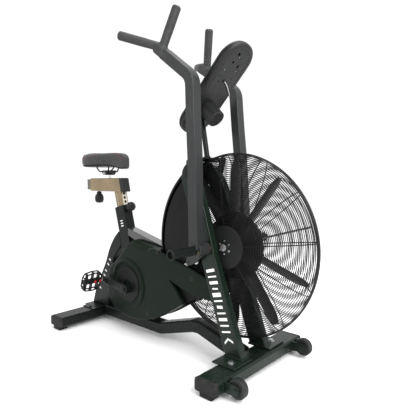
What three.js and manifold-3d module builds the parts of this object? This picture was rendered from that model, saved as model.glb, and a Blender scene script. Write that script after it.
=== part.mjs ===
// Air bike: fan drum between two front legs, swinging arms, cranks, sliding saddle.
// Millimetres. +X forward, +Y to the rider's left, +Z up.
// Working coordinates put X = 0 on the fan axle; the whole group is shifted at the end
// so that its origin is the floor point under the centre of the machine.
import * as THREE from 'three';
import { mergeVertices } from 'three/addons/utils/BufferGeometryUtils.js';
import Module from 'manifold-3d';

const wasm = await Module();
wasm.setup();

// ---------------------------------------------------------------- driving dimensions
const SHIFT_X = 304;            // moves the middle of the length to X = 0
const SHIFT_Z = -16;            // moves the floor to Z = 0
const FAN_Z = 474;              // fan axle height
const DRUM_R = 350;             // outside radius of the wire drum
const CRANK = { x: -545, z: 230, len: 165 };
const CRANK_ANGLE = 171.2;      // right crank arm, degrees from +X toward +Z
const PIVOT = { x: -54, z: 471 };
const LEG_IN = 58, LEG_OUT = 93;
const STAB_LEN = 550, STAB_Z0 = 32, STAB_Z1 = 78;
const REAR_X = [-907, -813];
const FRONT_X = [42, 136];
const LEAN = 14.5;              // seat tube lean, degrees
const SEAT_P0 = { x: -649, z: 470 };
const BELT_Y0 = -43.5, BELT_Y1 = -32.5;
const DRIVE_R = 100, DRIVEN_R = 25;
const CONSOLE = { x: -90, z: 1065, halfLen: 206, halfWid: 82, corner: 74 };

// ---------------------------------------------------------------- small helpers
const D = Math.PI / 180;
const tidy = (g) => {
  let h = g.index ? g.clone() : g.clone();
  for (const n of ['normal', 'uv', 'color']) if (h.getAttribute(n)) h.deleteAttribute(n);
  return mergeVertices(h, 1e-4);
};
function solid(g) {
  const h = tidy(g);
  const p = new Float32Array(h.getAttribute('position').array);
  const t = new Uint32Array(h.index.array);
  let vol = 0;
  for (let i = 0; i < t.length; i += 3) {
    const a = t[i] * 3, b = t[i + 1] * 3, c = t[i + 2] * 3;
    vol += p[a] * (p[b + 1] * p[c + 2] - p[b + 2] * p[c + 1]) - p[a + 1] * (p[b] * p[c + 2] - p[b + 2] * p[c])
      + p[a + 2] * (p[b] * p[c + 1] - p[b + 1] * p[c]);
  }
  if (vol < 0) for (let i = 0; i < t.length; i += 3) { const s = t[i + 1]; t[i + 1] = t[i + 2]; t[i + 2] = s; }
  return new wasm.Manifold(new wasm.Mesh({ numProp: 3, vertProperties: p, triVerts: t }));
}
function toGeo(m) {
  const q = m.getMesh();
  const g = new THREE.BufferGeometry();
  g.setAttribute('position', new THREE.BufferAttribute(new Float32Array(q.vertProperties), 3));
  g.setIndex(new THREE.BufferAttribute(new Uint32Array(q.triVerts), 1));
  g.computeVertexNormals();
  return g;
}
const join = (...gs) => gs.map((g) => (g.isBufferGeometry ? solid(g) : g)).reduce((a, b) => a.add(b));
const cut = (a, ...bs) => bs.map((g) => (g.isBufferGeometry ? solid(g) : g))
  .reduce((m, b) => m.subtract(b), a.isBufferGeometry ? solid(a) : a);

// outline in the X-Z plane, extruded from y0 to y1 (y0 < y1)
function slab(pts, y0, y1, holes = []) {
  const s = new THREE.Shape(pts.map(([x, z]) => new THREE.Vector2(x, z)));
  for (const h of holes) s.holes.push(new THREE.Path(h.map(([x, z]) => new THREE.Vector2(x, z))));
  const g = new THREE.ExtrudeGeometry(s, { depth: y1 - y0, bevelEnabled: false, curveSegments: 12 });
  g.rotateX(Math.PI / 2);
  g.translate(0, y1, 0);
  return g;
}
const box = (x0, x1, y0, y1, z0, z1) =>
  new THREE.BoxGeometry(x1 - x0, y1 - y0, z1 - z0).translate((x0 + x1) / 2, (y0 + y1) / 2, (z0 + z1) / 2);
const cylY = (r, y0, y1, x, z, n = 16) =>
  new THREE.CylinderGeometry(r, r, y1 - y0, n).translate(x, (y0 + y1) / 2, z);
const cylZ = (r, z0, z1, x, y, n = 14) =>
  new THREE.CylinderGeometry(r, r, z1 - z0, n).rotateX(Math.PI / 2).translate(x, y, (z0 + z1) / 2);
function rod(a, b, r, n = 14, r2 = r) {
  const A = new THREE.Vector3(...a), B = new THREE.Vector3(...b);
  const d = B.clone().sub(A), g = new THREE.CylinderGeometry(r2, r, d.length(), n);
  const q = new THREE.Quaternion().setFromUnitVectors(new THREE.Vector3(0, 1, 0), d.clone().normalize());
  g.applyQuaternion(q);
  g.translate((A.x + B.x) / 2, (A.y + B.y) / 2, (A.z + B.z) / 2);
  return g;
}
// closed profile [[radius, y], ...] turned about an axis along Y through (x, z)
function turn(profile, x, z, n = 20) {
  const pts = profile.map(([r, y]) => new THREE.Vector2(r, y));
  if (profile[0][0] > 1e-6 || profile[profile.length - 1][0] > 1e-6) pts.push(pts[0].clone());
  return new THREE.LatheGeometry(pts, n).translate(x, 0, z);
}
const ringY = (ri, ro, y0, y1, x, z, n = 20) => turn([[ri, y0], [ro, y0], [ro, y1], [ri, y1]], x, z, n);
const circle = (x, z, r, n = 24, a0 = 0) =>
  Array.from({ length: n }, (_, i) => [x + r * Math.cos(a0 + i * 2 * Math.PI / n), z + r * Math.sin(a0 + i * 2 * Math.PI / n)]);
function mirrorY(g) {
  const h = tidy(g.isBufferGeometry ? g : toGeo(g));
  h.scale(1, -1, 1);
  const t = h.index.array;
  for (let i = 0; i < t.length; i += 3) { const s = t[i + 1]; t[i + 1] = t[i + 2]; t[i + 2] = s; }
  return h;
}
const at = (g, m) => (g.isBufferGeometry ? g : toGeo(g)).clone().applyMatrix4(m);
function loft(rings) {
  const n = rings[0].length, pos = [], idx = [];
  rings.forEach((r) => r.forEach((p) => pos.push(...p)));
  for (let k = 0; k < rings.length - 1; k++)
    for (let i = 0; i < n; i++) {
      const a = k * n + i, b = k * n + (i + 1) % n, c = a + n, d = b + n;
      idx.push(a, b, d, a, d, c);
    }
  for (let i = 1; i < n - 1; i++) {
    idx.push(0, i + 1, i);
    const e = (rings.length - 1) * n;
    idx.push(e, e + i, e + i + 1);
  }
  const g = new THREE.BufferGeometry();
  g.setAttribute('position', new THREE.BufferAttribute(new Float32Array(pos), 3));
  g.setIndex(idx);
  return g;
}

// the same outline moved inward by d, for a tube wall
function inset(pts, d) {
  const n = pts.length, out = [];
  let area = 0;
  for (let i = 0; i < n; i++) { const a = pts[i], b = pts[(i + 1) % n]; area += a[0] * b[1] - a[1] * b[0]; }
  const sg = area > 0 ? 1 : -1;
  for (let i = 0; i < n; i++) {
    const p = pts[(i + n - 1) % n], q = pts[i], t = pts[(i + 1) % n];
    const e1 = [q[0] - p[0], q[1] - p[1]], e2 = [t[0] - q[0], t[1] - q[1]];
    const l1 = Math.hypot(...e1), l2 = Math.hypot(...e2);
    const n1 = [-e1[1] / l1 * sg, e1[0] / l1 * sg], n2 = [-e2[1] / l2 * sg, e2[0] / l2 * sg];
    const k = d / Math.max(0.35, 1 + n1[0] * n2[0] + n1[1] * n2[1]);
    out.push([q[0] + (n1[0] + n2[0]) * k, q[1] + (n1[1] + n2[1]) * k]);
  }
  return out;
}

const bike = new THREE.Group();
bike.position.set(SHIFT_X, 0, SHIFT_Z);
const COL = {
  frame: [0x16191a, 0.45, 0.5], cover: [0x1b211e, 0.5, 0.1], arm: [0x4a4c4e, 0.45, 0.5], steel: [0x9a9c9e, 0.3, 0.9],
  chrome: [0xd0d2d4, 0.12, 1], rubber: [0x111111, 0.9, 0], plastic: [0x26282a, 0.6, 0], tan: [0x8f7a58, 0.4, 0.6],
  bronze: [0xa9823f, 0.35, 0.9], fan: [0x3a3c3e, 0.5, 0.4], wire: [0x0e0e0f, 0.4, 0.5], leather: [0x141416, 0.6, 0],
  belt: [0x0c0c0c, 0.85, 0], screen: [0x30383a, 0.2, 0], cable: [0xb9bab8, 0.6, 0],
};
function add(name, g, mat) {
  const [color, roughness, metalness] = COL[mat];
  const mesh = new THREE.Mesh(g.isBufferGeometry ? tidy(g) : toGeo(g), new THREE.MeshStandardMaterial({ color, roughness, metalness }));
  mesh.name = name;
  bike.add(mesh);
}
const pair = (base, g, mat) => { add(base + '_right', g, mat); add(base + '_left', mirrorY(g), mat); };

// ---------------------------------------------------------------- base frame
function stabilizer([x0, x1]) {
  const c = 7;
  const sec = [[x0 + c, STAB_Z0], [x1 - c, STAB_Z0], [x1, STAB_Z0 + c], [x1, STAB_Z1 - c], [x1 - c, STAB_Z1], [x0 + c, STAB_Z1], [x0, STAB_Z1 - c], [x0, STAB_Z0 + c]];
  return cut(slab(sec, -STAB_LEN / 2 + 14, STAB_LEN / 2 - 14), slab(inset(sec, 3), -STAB_LEN, STAB_LEN));
}
const endCap = ([x0, x1]) => {
  const c = 9, y = -STAB_LEN / 2 + 13.7;
  return join(
    slab([[x0 + c, STAB_Z0], [x1 - c, STAB_Z0], [x1, STAB_Z0 + c], [x1, STAB_Z1 - c], [x1 - c, STAB_Z1], [x0 + c, STAB_Z1], [x0, STAB_Z1 - c], [x0, STAB_Z0 + c]], y - 13.7, y),
    box(x0 + 20, x1 - 20, y - 10, y - 2, 18, STAB_Z0 + 2),
    box(x0 + 20, x1 - 20, y - 10, y + 34, 16, STAB_Z0 - 0.3));
};
const wheelY = 214, wheelX = 181, wheelZ = 60;
function wheelMount(s) {
  const y = s * wheelY;
  const ear = (a, b) => slab([[134, 40], [wheelX, 42], [wheelX + 12, 50], [wheelX + 15, 60], [wheelX + 11, 72], [wheelX, 76], [134, 76]], a, b);
  return [ear(y - 20, y - 15), ear(y + 15, y + 20), cylY(6, y - 26, y + 26, wheelX, wheelZ, 12)];
}
add('rear_stabilizer', join(stabilizer(REAR_X), box(-927, -813, -72, 72, STAB_Z1 - 1, STAB_Z1 + 5),
  box(-907, -813, -96, 96, STAB_Z1 - 1, STAB_Z1 + 4),
  cylZ(7, STAB_Z1, STAB_Z1 + 9, -860, -84, 6), cylZ(7, STAB_Z1, STAB_Z1 + 9, -860, 84, 6)), 'frame');
add('front_stabilizer', join(stabilizer(FRONT_X), ...wheelMount(-1), ...wheelMount(1)), 'frame');
pair('rear_foot', endCap(REAR_X), 'rubber');
pair('front_foot', endCap(FRONT_X), 'rubber');
pair('transport_wheel', turn([[6.4, -wheelY - 13], [30, -wheelY - 13], [34, -wheelY - 9], [34, -wheelY + 9], [30, -wheelY + 13], [6.4, -wheelY + 13]], wheelX, wheelZ, 20), 'rubber');

const railPts = [[-812.7, 36], [-402, 38], [-199, 98], [-166, 97], [-44, 60], [41.7, 36], [41.7, 86],
  [-22, 104], [-150, 146], [-178, 148], [-210, 140], [-392, 88], [-812.7, 86]];
const railIn = inset(railPts, 3.5);
railIn[0][0] = -830; railIn[12][0] = -830; railIn[5][0] = 60; railIn[6][0] = 60;
add('bottom_rail', cut(slab(railPts, -30, 30), slab(railIn, -26.5, 26.5)), 'frame');
const rearPts = [[-926, 83.3], [-905, 140], [-868, 200], [-846, 242], [-803, 315], [-772, 380], [-730, 440], [-696, 472], [-683.5, 466],
  [-669.5, 408.5], [-690, 388], [-734, 337], [-747, 268], [-760, 190], [-771, 150], [-784, 120], [-797, 90], [-797, 87], [-813.4, 87], [-813.4, 83.3]];
const rearIn = inset([[-926, 60], ...rearPts.slice(1, 15), [-797, 60]], 4);
add('rear_leg', cut(slab(rearPts, -25, 25), slab(rearIn, -21, 21)), 'frame');
const seatM = new THREE.Matrix4().makeTranslation(SEAT_P0.x, 0, SEAT_P0.z).multiply(new THREE.Matrix4().makeRotationY(-LEAN * D));
add('seat_tube', at(cut(join(box(-32, 32, -25, 25, -75, 131), new THREE.CylinderGeometry(14, 14, 13, 20).rotateZ(Math.PI / 2).translate(37.5, 0, 116)),
  box(-25.6, 25.6, -19.6, 19.6, -80, 140), new THREE.CylinderGeometry(6.6, 6.6, 40, 16).rotateZ(Math.PI / 2).translate(35, 0, 116)), seatM), 'frame');
add('top_tube', join(slab([[-613.5, 462], [-618, 497], [-415, 446], [-378, 436], [-378, 384], [-413, 392]], -25, 25),
  slab([[-482, 430], [-446, 420], [-446, 88.4], [-478, 88.4]], -20, 20)), 'frame');
add('bottom_bracket', cut(join(cylY(23, -28, 28, CRANK.x, CRANK.z, 16), slab([[-565, 87.8], [-525, 87.8], [-530, CRANK.z], [-560, CRANK.z]], -20, 20)),
  cylY(17.3, -40, 40, CRANK.x, CRANK.z, 16)), 'frame');

// front legs: curved box sections, wide at the foot and narrow at the top
const legPts = [[104, 84], [79, 155], [31, 291], [-14, 420], [-38, 503], [-81, 649], [-105, 712], [-131, 752], [-150, 776], [-166, 782], [-180, 766],
  [-187, 733], [-172, 685], [-155, 627], [-140, 570], [-120, 503], [-86, 418], [-51, 313], [-3, 172], [27, 84]];
const legIn = inset([[112, 60], ...legPts.slice(1, 19), [35, 60]], 4);
const leg = cut(join(slab(legPts, -LEG_OUT, -LEG_IN), box(22, 122, -160, -58, STAB_Z1 + 0.3, 85),
  cylZ(8, 84, 93, 84, -128, 6)), slab(legIn, -LEG_OUT + 4, -LEG_IN - 4));
pair('front_leg', cut(leg, cylY(12.7, -100, -50, PIVOT.x, PIVOT.z, 16), cylY(19, -100, -50, 0, FAN_Z, 16)), 'frame');

// yoke over the drum that ties the legs together and carries the console mast
const yokeSide = [[-160, 735], [-136, 735], [-117, 804], [-119, 811], [-152, 798]];
add('console_mast', join(slab(yokeSide, -98.5, -93.3), slab(yokeSide, 93.3, 98.5), slab([[-150, 793.5], [-118, 806.5], [-120, 811], [-152, 798]], -98.5, 98.5),
  slab([[-139, 804], [-125, 804], [-153.6, 974], [-165.5, 962]], -8, 8)), 'frame');

// ---------------------------------------------------------------- fan drum
const NS = 40;
const drumSlots = [];
for (let i = 0; i < 12; i++) {
  const a = (i * 30 + 15) * D, g = box(DRUM_R - 20, DRUM_R + 20, -39, 39, -78, 78);
  g.rotateY(-a); g.translate(0, 0, FAN_Z); drumSlots.push(g);
}
add('cage_rim', cut(ringY(DRUM_R - 5, DRUM_R - 0.2, -46.8, 46.8, 0, FAN_Z, 32), ...drumSlots, box(-400, -200, -47.5, -28.5, 250, 452)), 'wire');
function grille() {
  const R = [81, 165, 251, 337], holes = [];
  for (let b = 0; b < 3; b++) for (let k = 0; k < 8; k++) {
    const a0 = (k * 45 + 60 / R[b + 1]) * D, a1 = ((k + 1) * 45 - 60 / R[b + 1]) * D;
    const r0 = R[b] + 5, r1 = R[b + 1] - 2, n = b + 2, m = b + 1, p = [];
    for (let i = 0; i <= n; i++) p.push([r1 * Math.cos(a0 + (a1 - a0) * i / n), FAN_Z + r1 * Math.sin(a0 + (a1 - a0) * i / n)]);
    for (let i = m; i >= 0; i--) { const c = a0 + (a1 - a0) * i / m; p.push([r0 * Math.cos(c), FAN_Z + r0 * Math.sin(c)]); }
    holes.push(p);
  }
  return slab(circle(0, FAN_Z, DRUM_R - 3, 40), -51.3, -47.1, [...holes, circle(0, FAN_Z, 24, 16)]);
}
pair('grille', grille(), 'wire');
// rear wind shield: two side crescents and an outer band
const shieldIn = [[-150, 791], [-170, 742], [-177, 680], [-178, 600], [-178, 430], [-172, 360], [-150, 300], [-123, 268]];
function shieldSide(y0, y1) {
  const p = [], r = DRUM_R + 4.5;
  const aTop = Math.atan2(791 - FAN_Z, -153), aBot = Math.atan2(207 - FAN_Z, -226) + 2 * Math.PI;
  for (let i = 0; i <= 18; i++) { const a = aTop + (aBot - aTop) * i / 18; p.push([r * Math.cos(a), FAN_Z + r * Math.sin(a)]); }
  return slab([...p, ...shieldIn.slice().reverse()], y0, y1);
}
const bandP = [];
{
  const aTop = Math.atan2(791 - FAN_Z, -153), aBot = Math.atan2(207 - FAN_Z, -226) + 2 * Math.PI;
  for (let i = 0; i <= 18; i++) { const a = aTop + (aBot - aTop) * i / 18; bandP.push([(DRUM_R + 4.5) * Math.cos(a), FAN_Z + (DRUM_R + 4.5) * Math.sin(a)]); }
  for (let i = 18; i >= 0; i--) { const a = aTop + (aBot - aTop) * i / 18; bandP.push([(DRUM_R + 1.5) * Math.cos(a), FAN_Z + (DRUM_R + 1.5) * Math.sin(a)]); }
}
const beltSlot = box(-400, -200, -47.5, -28.5, 250, 452);
add('windshield', cut(join(shieldSide(-54.6, -51.8), shieldSide(51.8, 54.6), slab(bandP, -54.6, 54.6)), beltSlot), 'plastic');
const hubBolts = [0, 60, 120, 180, 240, 300].map((a) => cylY(3.6, -60.5, -56, 24 * Math.cos((a + 30) * D), FAN_Z + 24 * Math.sin((a + 30) * D), 6));
pair('hub_plate', join(ringY(10.4, 80, -57.7, -51.6, 0, FAN_Z, 32), ...hubBolts), 'plastic');
add('fan_axle', join(cylY(10, -66, 66, 0, FAN_Z, 16), cylY(14, -69, -57.8, 0, FAN_Z, 6), cylY(14, 57.8, 69, 0, FAN_Z, 6)), 'steel');
const blades = [];
for (let i = 0; i < 10; i++) {
  const g = slab([[30, -1.6], [322, -1.6], [322, 1.6], [30, 1.6]], -25, 37);
  const taper = cut(g, box(296, 330, 24, 60, -5, 5), box(296, 330, -60, -12, -5, 5));
  blades.push(at(taper, new THREE.Matrix4().makeTranslation(0, 0, FAN_Z).multiply(new THREE.Matrix4().makeRotationY(-(16 + 36 * i) * D))));
}
add('fan_rotor', cut(join(cylY(40, -29, 39, 0, FAN_Z, 20), cylY(129, 2, 8, 0, FAN_Z, 32), ...blades), cylY(10.4, -60, 60, 0, FAN_Z, 16)), 'fan');
add('fan_pulley', turn([[10.4, -45.6], [29, -45.6], [29, -44], [DRIVEN_R, -44], [DRIVEN_R, -32], [29, -32], [29, -30.6], [10.4, -30.6]], 0, FAN_Z, 16), 'steel');

// ---------------------------------------------------------------- drive
add('drive_pulley', turn([[9.4, -47], [24, -47], [24, -41], [91, -41], [91, -45], [DRIVE_R, -45], [DRIVE_R, -31.2], [91, -31.2], [91, -36], [24, -36], [24, -31.2], [9.4, -31.2]],
  CRANK.x, CRANK.z, 28), 'steel');
{
  const dx = -CRANK.x, dz = FAN_Z - CRANK.z, L = Math.hypot(dx, dz), th = Math.atan2(dz, dx);
  const loop = (off) => {
    const r1 = DRIVE_R + off, r2 = DRIVEN_R + off, b = Math.acos((r1 - r2) / L), p = [];
    for (let i = 0; i <= 16; i++) { const a = th + b + (2 * Math.PI - 2 * b) * i / 16; p.push([CRANK.x + r1 * Math.cos(a), CRANK.z + r1 * Math.sin(a)]); }
    for (let i = 0; i <= 8; i++) { const a = th - b + 2 * b * i / 8; p.push([r2 * Math.cos(a), FAN_Z + r2 * Math.sin(a)]); }
    return p;
  };
  add('drive_belt', slab(loop(4.0), BELT_Y0, BELT_Y1, [loop(1.0)]), 'belt');
}
const throwDir = [0.79, 0.61];
const ecc = (s, y0, y1) => cylY(20, y0, y1, CRANK.x + s * 10 * throwDir[0], CRANK.z + s * 10 * throwDir[1], 16);
add('crank_spindle', join(cylY(9, -113, 113, CRANK.x, CRANK.z, 16), ecc(1, -58, -49), ecc(-1, 49, 58)), 'steel');
pair('crank_bearing', ringY(9.4, 17, -27.5, -15.5, CRANK.x, CRANK.z, 16), 'steel');
const crankM = (deg) => new THREE.Matrix4().makeTranslation(CRANK.x, 0, CRANK.z).multiply(new THREE.Matrix4().makeRotationY(-deg * D));
function crankArm() {
  const L = CRANK.len;
  return cut(join(slab([[-21, -13], [-12, -21], [6, -22], [L + 4, -12.5], [L + 13, -6], [L + 13, 6], [L + 4, 12.5], [6, 22], [-12, 21], [-21, 13]], -112, -98),
    cylY(20, -112, -84, 0, 0, 16)), cylY(9.4, -130, -70, 0, 0, 16), cylY(6.4, -130, -70, L, 0, 12));
}
add('crank_arm_right', at(crankArm(), crankM(CRANK_ANGLE)), 'frame');
add('crank_arm_left', at(mirrorY(crankArm()), crankM(CRANK_ANGLE + 180)), 'frame');
function pedal() {
  const oct = (a, b) => [[-42 + a, -13 + b], [42 - a, -13 + b], [46 - a, -7], [46 - a, 7], [42 - a, 13 - b], [-42 + a, 13 - b], [-46 + a, 7], [-46 + a, -7]];
  const body = cut(slab(oct(0, 0), -216, -124), box(-36, -12, -205, -136, -20, 20), box(12, 36, -205, -136, -20, 20));
  return join(body, cylY(6, -200, -98.5, 0, 0, 12), cylY(10, -123.9, -112.6, 0, 0, 10));
}
const pedalAt = (deg) => new THREE.Matrix4().makeTranslation(CRANK.x + CRANK.len * Math.cos(deg * D), 0, CRANK.z + CRANK.len * Math.sin(deg * D))
  .multiply(new THREE.Matrix4().makeRotationY(-70 * D));
add('pedal_right', at(pedal(), pedalAt(CRANK_ANGLE)), 'plastic');
add('pedal_left', at(mirrorY(pedal()), pedalAt(CRANK_ANGLE + 180)), 'plastic');

// moulded covers: a bulb around the crank and a flat belt-case arm that reaches the leg
const bulb = [[-597, 414], [-553, 449], [-529, 449], [-372, 430]];
for (let i = 0; i <= 8; i++) { const a = (187 + (229 - 187) * i / 8) * D; bulb.push([361 * Math.cos(a), FAN_Z + 361 * Math.sin(a)]); }
bulb.push([-289, 173], [-391, 118], [-477, 94], [-564, 90.5], [-624, 101], [-678, 124], [-706, 160], [-716, 215], [-712, 262], [-690, 322], [-646, 370]);
const bulbIn = [[-597, 410], [-553, 445], [-529, 445.5], [-371, 426], [-340, 424], [-222, 232], [-232, 206], [-290, 178], [-391, 122.5], [-477, 98], [-564, 94.5], [-622, 105], [-675, 127.5], [-702, 162], [-712, 215],
  [-708, 261], [-686.5, 320], [-643, 367]];
const armOut = [[-380, 431], [-354, 427], [-112, 362], [-70, 349], [-50, 290], [-41, 262], [-133, 271], [-188, 281], [-233, 294], [-280, 311],
  [-262, 297], [-239, 272], [-222, 250], [-205, 233], [-197, 225], [-229, 208], [-289, 173], [-391, 118], [-420, 230]];
const armIn = [[-430, 426], [-355, 423], [-113, 358], [-73.5, 345.5], [-54, 290], [-46.5, 266.6], [-133, 275], [-187, 285], [-232, 298], [-285, 317.5],
  [-300, 312], [-265, 292.5], [-242.5, 269], [-225.5, 247.5], [-209, 231], [-204.5, 226], [-231, 211.5], [-291, 177], [-391, 122.5], [-440, 230]];
const coverShell = cut(join(slab(bulb, -78, -31), slab(armOut, -78, -60)), slab(bulbIn, -75, -20), slab(armIn, -75, -50),
  slab([[-330, 440], [-240, 440], [-118, 440], [-118, 372], [-330, 352]], -75, -50));
const badge = cylY(80, -82, -76, -557, 247, 28);
const cover = cut(join(coverShell, badge), cylY(24, -100, -50, CRANK.x, CRANK.z, 16),
  box(-39, 0, -100, -50, 200, 400));
pair('cover', cover, 'cover');

// ---------------------------------------------------------------- swinging arms
pair('foot_peg', cut(join(cylY(12.6, -161, -93.3, PIVOT.x, PIVOT.z), cylY(12.3, -94, -66, PIVOT.x, PIVOT.z), cylY(17, -282, -160.5, PIVOT.x, PIVOT.z),
  cylY(19.5, -282, -275, PIVOT.x, PIVOT.z)), cylY(12, -290, -272, PIVOT.x, PIVOT.z)), 'frame');
pair('pivot_bush', turn([[13, -157], [16.3, -157], [16.3, -101], [23, -101], [23, -97.4], [13, -97.4]], PIVOT.x, PIVOT.z, 16), 'bronze');
const armPath = [[-77, 491], [-79, 620], [-80, 795], [-86, 946], [-88, 1058], [-91, 1076], [-100, 1094], [-126, 1117], [-226, 1191], [-252, 1211],
  [-262, 1224], [-246, 1244], [-228, 1246], [-207, 1228], [-197, 1219], [-97, 1138], [-76, 1116], [-61, 1092], [-52, 1060], [-46, 946], [-40, 795], [-39, 620], [-38, 491]];
const LEV = [-135, 408];
const UP = [[-216, -148, 1226], [-170, -120, 1363]], RE = [[-246, -148, 1228], [-360, -245, 1271]];
const mix = (p, t) => p[0].map((v, i) => v + (p[1][i] - v) * t);
function swingArm() {
  const armIn2 = inset([[-77, 440], ...armPath.slice(1, 22), [-38, 440]], 3.5);
  const tube = slab(armPath, -169.5, -126.5);
  const pad = slab([[-84, 476], [-84, 500], [-30, 500], [-30, 476]], -157.5, -127.5);
  const fin = slab([[-78, 760], [-92, 748], [-95, 700], [-92, 640], [-78, 560]], -152, -144);
  const sleeve = cylY(26, -157.5, -101.4, PIVOT.x, PIVOT.z, 20);
  const a = [PIVOT.x - 20, PIVOT.z - 8], lever = slab([[PIVOT.x - 8, PIVOT.z + 16], [PIVOT.x - 34, PIVOT.z + 2], [LEV[0] - 10, LEV[1] + 8], [LEV[0] - 12, LEV[1] - 4], [LEV[0] - 3, LEV[1] - 12],
    [LEV[0] + 9, LEV[1] - 9], [PIVOT.x + 2, PIVOT.z - 22]], -114, -104);
  const pin = cylY(6, -114, -60.5, LEV[0], LEV[1], 12);
  return cut(join(cut(join(tube, pad, fin), slab(armIn2, -166, -130)), sleeve, lever, pin, rod(UP[0], mix(UP, 0.985), 13.5), rod(RE[0], mix(RE, 0.985), 13.5)),
    cylY(16.6, -170, -90, PIVOT.x, PIVOT.z, 16));
}
const swing = (g, deg) => at(g, new THREE.Matrix4().makeTranslation(PIVOT.x, 0, PIVOT.z).multiply(new THREE.Matrix4().makeRotationY(-deg * D))
  .multiply(new THREE.Matrix4().makeTranslation(-PIVOT.x, 0, -PIVOT.z)));
const LEFT_PHASE = 3.4;
add('swing_arm_right', swingArm(), 'arm');
add('swing_arm_left', swing(mirrorY(swingArm()), LEFT_PHASE), 'arm');
const sleeveGrip = (p) => cut(rod(mix(p, 0.28), mix(p, 1.01), 17, 14), rod(mix(p, 0.1), mix(p, 0.99), 13.9, 14));
add('upper_grip_right', sleeveGrip(UP), 'rubber');
add('rear_grip_right', sleeveGrip(RE), 'rubber');
add('upper_grip_left', swing(mirrorY(sleeveGrip(UP)), LEFT_PHASE), 'rubber');
add('rear_grip_left', swing(mirrorY(sleeveGrip(RE)), LEFT_PHASE), 'rubber');
function linkRod(px, pz) {
  const ex = CRANK.x + 28 * throwDir[0], ez = CRANK.z + 28 * throwDir[1];
  const dx = ex - px, dz = ez - pz, L = Math.hypot(dx, dz), nx = -dz / L * 6, nz = dx / L * 6;
  return cut(join(slab([[px + nx, pz + nz], [ex + nx, ez + nz], [ex - nx, ez - nz], [px - nx, pz - nz]], -70, -62.5),
    cylY(13, -70, -62.5, px, pz, 16), cylY(12, -70, -62.5, ex, ez, 14)), cylY(6.4, -80, -50, px, pz, 12), cylY(6, -80, -50, ex, ez, 12));
}
add('link_rod_right', linkRod(LEV[0], LEV[1]), 'steel');
{
  const a = -LEFT_PHASE * D, rx = LEV[0] - PIVOT.x, rz = LEV[1] - PIVOT.z;   // lever end after the phase turn
  const c = Math.cos(-a), s = Math.sin(-a);
  const px = PIVOT.x + rx * c - rz * s, pz = PIVOT.z + rx * s + rz * c;
  add('link_rod_left', mirrorY(linkRod(px, pz)), 'steel');
}

// ---------------------------------------------------------------- console
const U = new THREE.Vector3(Math.SQRT1_2, 0, Math.SQRT1_2), V = new THREE.Vector3(0, 1, 0), W = new THREE.Vector3(-Math.SQRT1_2, 0, Math.SQRT1_2);
const consM = new THREE.Matrix4().makeBasis(U, V, W).setPosition(CONSOLE.x, 0, CONSOLE.z);
function pad(hl, hw, r, z0, z1, n = 5) {
  const s = new THREE.Shape(), pts = [];
  for (const [cx, cy, a0] of [[hl - r, hw - r, 0], [-hl + r, hw - r, 90], [-hl + r, -hw + r, 180], [hl - r, -hw + r, 270]])
    for (let i = 0; i <= n; i++) pts.push(new THREE.Vector2(cx + r * Math.cos((a0 + 90 * i / n) * D), cy + r * Math.sin((a0 + 90 * i / n) * D)));
  const sh = new THREE.Shape(pts);
  return new THREE.ExtrudeGeometry(sh, { depth: z1 - z0, bevelEnabled: false }).translate(0, 0, z0);
}
const boss = new THREE.CylinderGeometry(35, 35, 70, 20).rotateX(Math.PI / 2).translate(-74, 0, -48);
const through = new THREE.CylinderGeometry(5, 5, 80, 12).rotateX(Math.PI / 2).translate(131, -20, 0);
add('console_back', at(cut(join(pad(CONSOLE.halfLen, CONSOLE.halfWid - 3, CONSOLE.corner, -15, 1.7), boss), through,
  pad(CONSOLE.halfLen - 5, CONSOLE.halfWid - 8, CONSOLE.corner - 4, -12, 20)), consM), 'plastic');
const buttons = [[-110, -34], [-110, 0], [-110, 34]];
add('console_face', at(cut(pad(CONSOLE.halfLen, CONSOLE.halfWid, CONSOLE.corner + 2, 2, 14), through,
  pad(CONSOLE.halfLen - 8, CONSOLE.halfWid - 8, CONSOLE.corner - 6, -10, 9),
  ...buttons.map(([u, v]) => new THREE.CylinderGeometry(11.4, 11.4, 30, 14).rotateX(Math.PI / 2).translate(u, v, 10))), consM), 'plastic');
buttons.forEach(([u, v], i) => add('console_button_' + (i + 1), at(new THREE.CylinderGeometry(11, 11, 7, 14).rotateX(Math.PI / 2).translate(u, v, 12.5), consM), 'rubber'));
{
  const pts = [[52, -6, -15.4], [52, -6, -20], [42, 14, -22.5], [24, 40, -22], [6, 64, -19.5], [-1, 73, -17.2]].map((p) => new THREE.Vector3(...p));
  const path = new THREE.CatmullRomCurve3(pts), c = new THREE.Shape();
  for (let i = 0; i < 8; i++) { const a = i * Math.PI / 4, x = 1.6 * Math.cos(a), y = 1.6 * Math.sin(a); if (i) c.lineTo(x, y); else c.moveTo(x, y); }
  add('console_cable', at(new THREE.ExtrudeGeometry(c, { steps: 14, extrudePath: path, bevelEnabled: false }), consM), 'cable');
}

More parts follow.
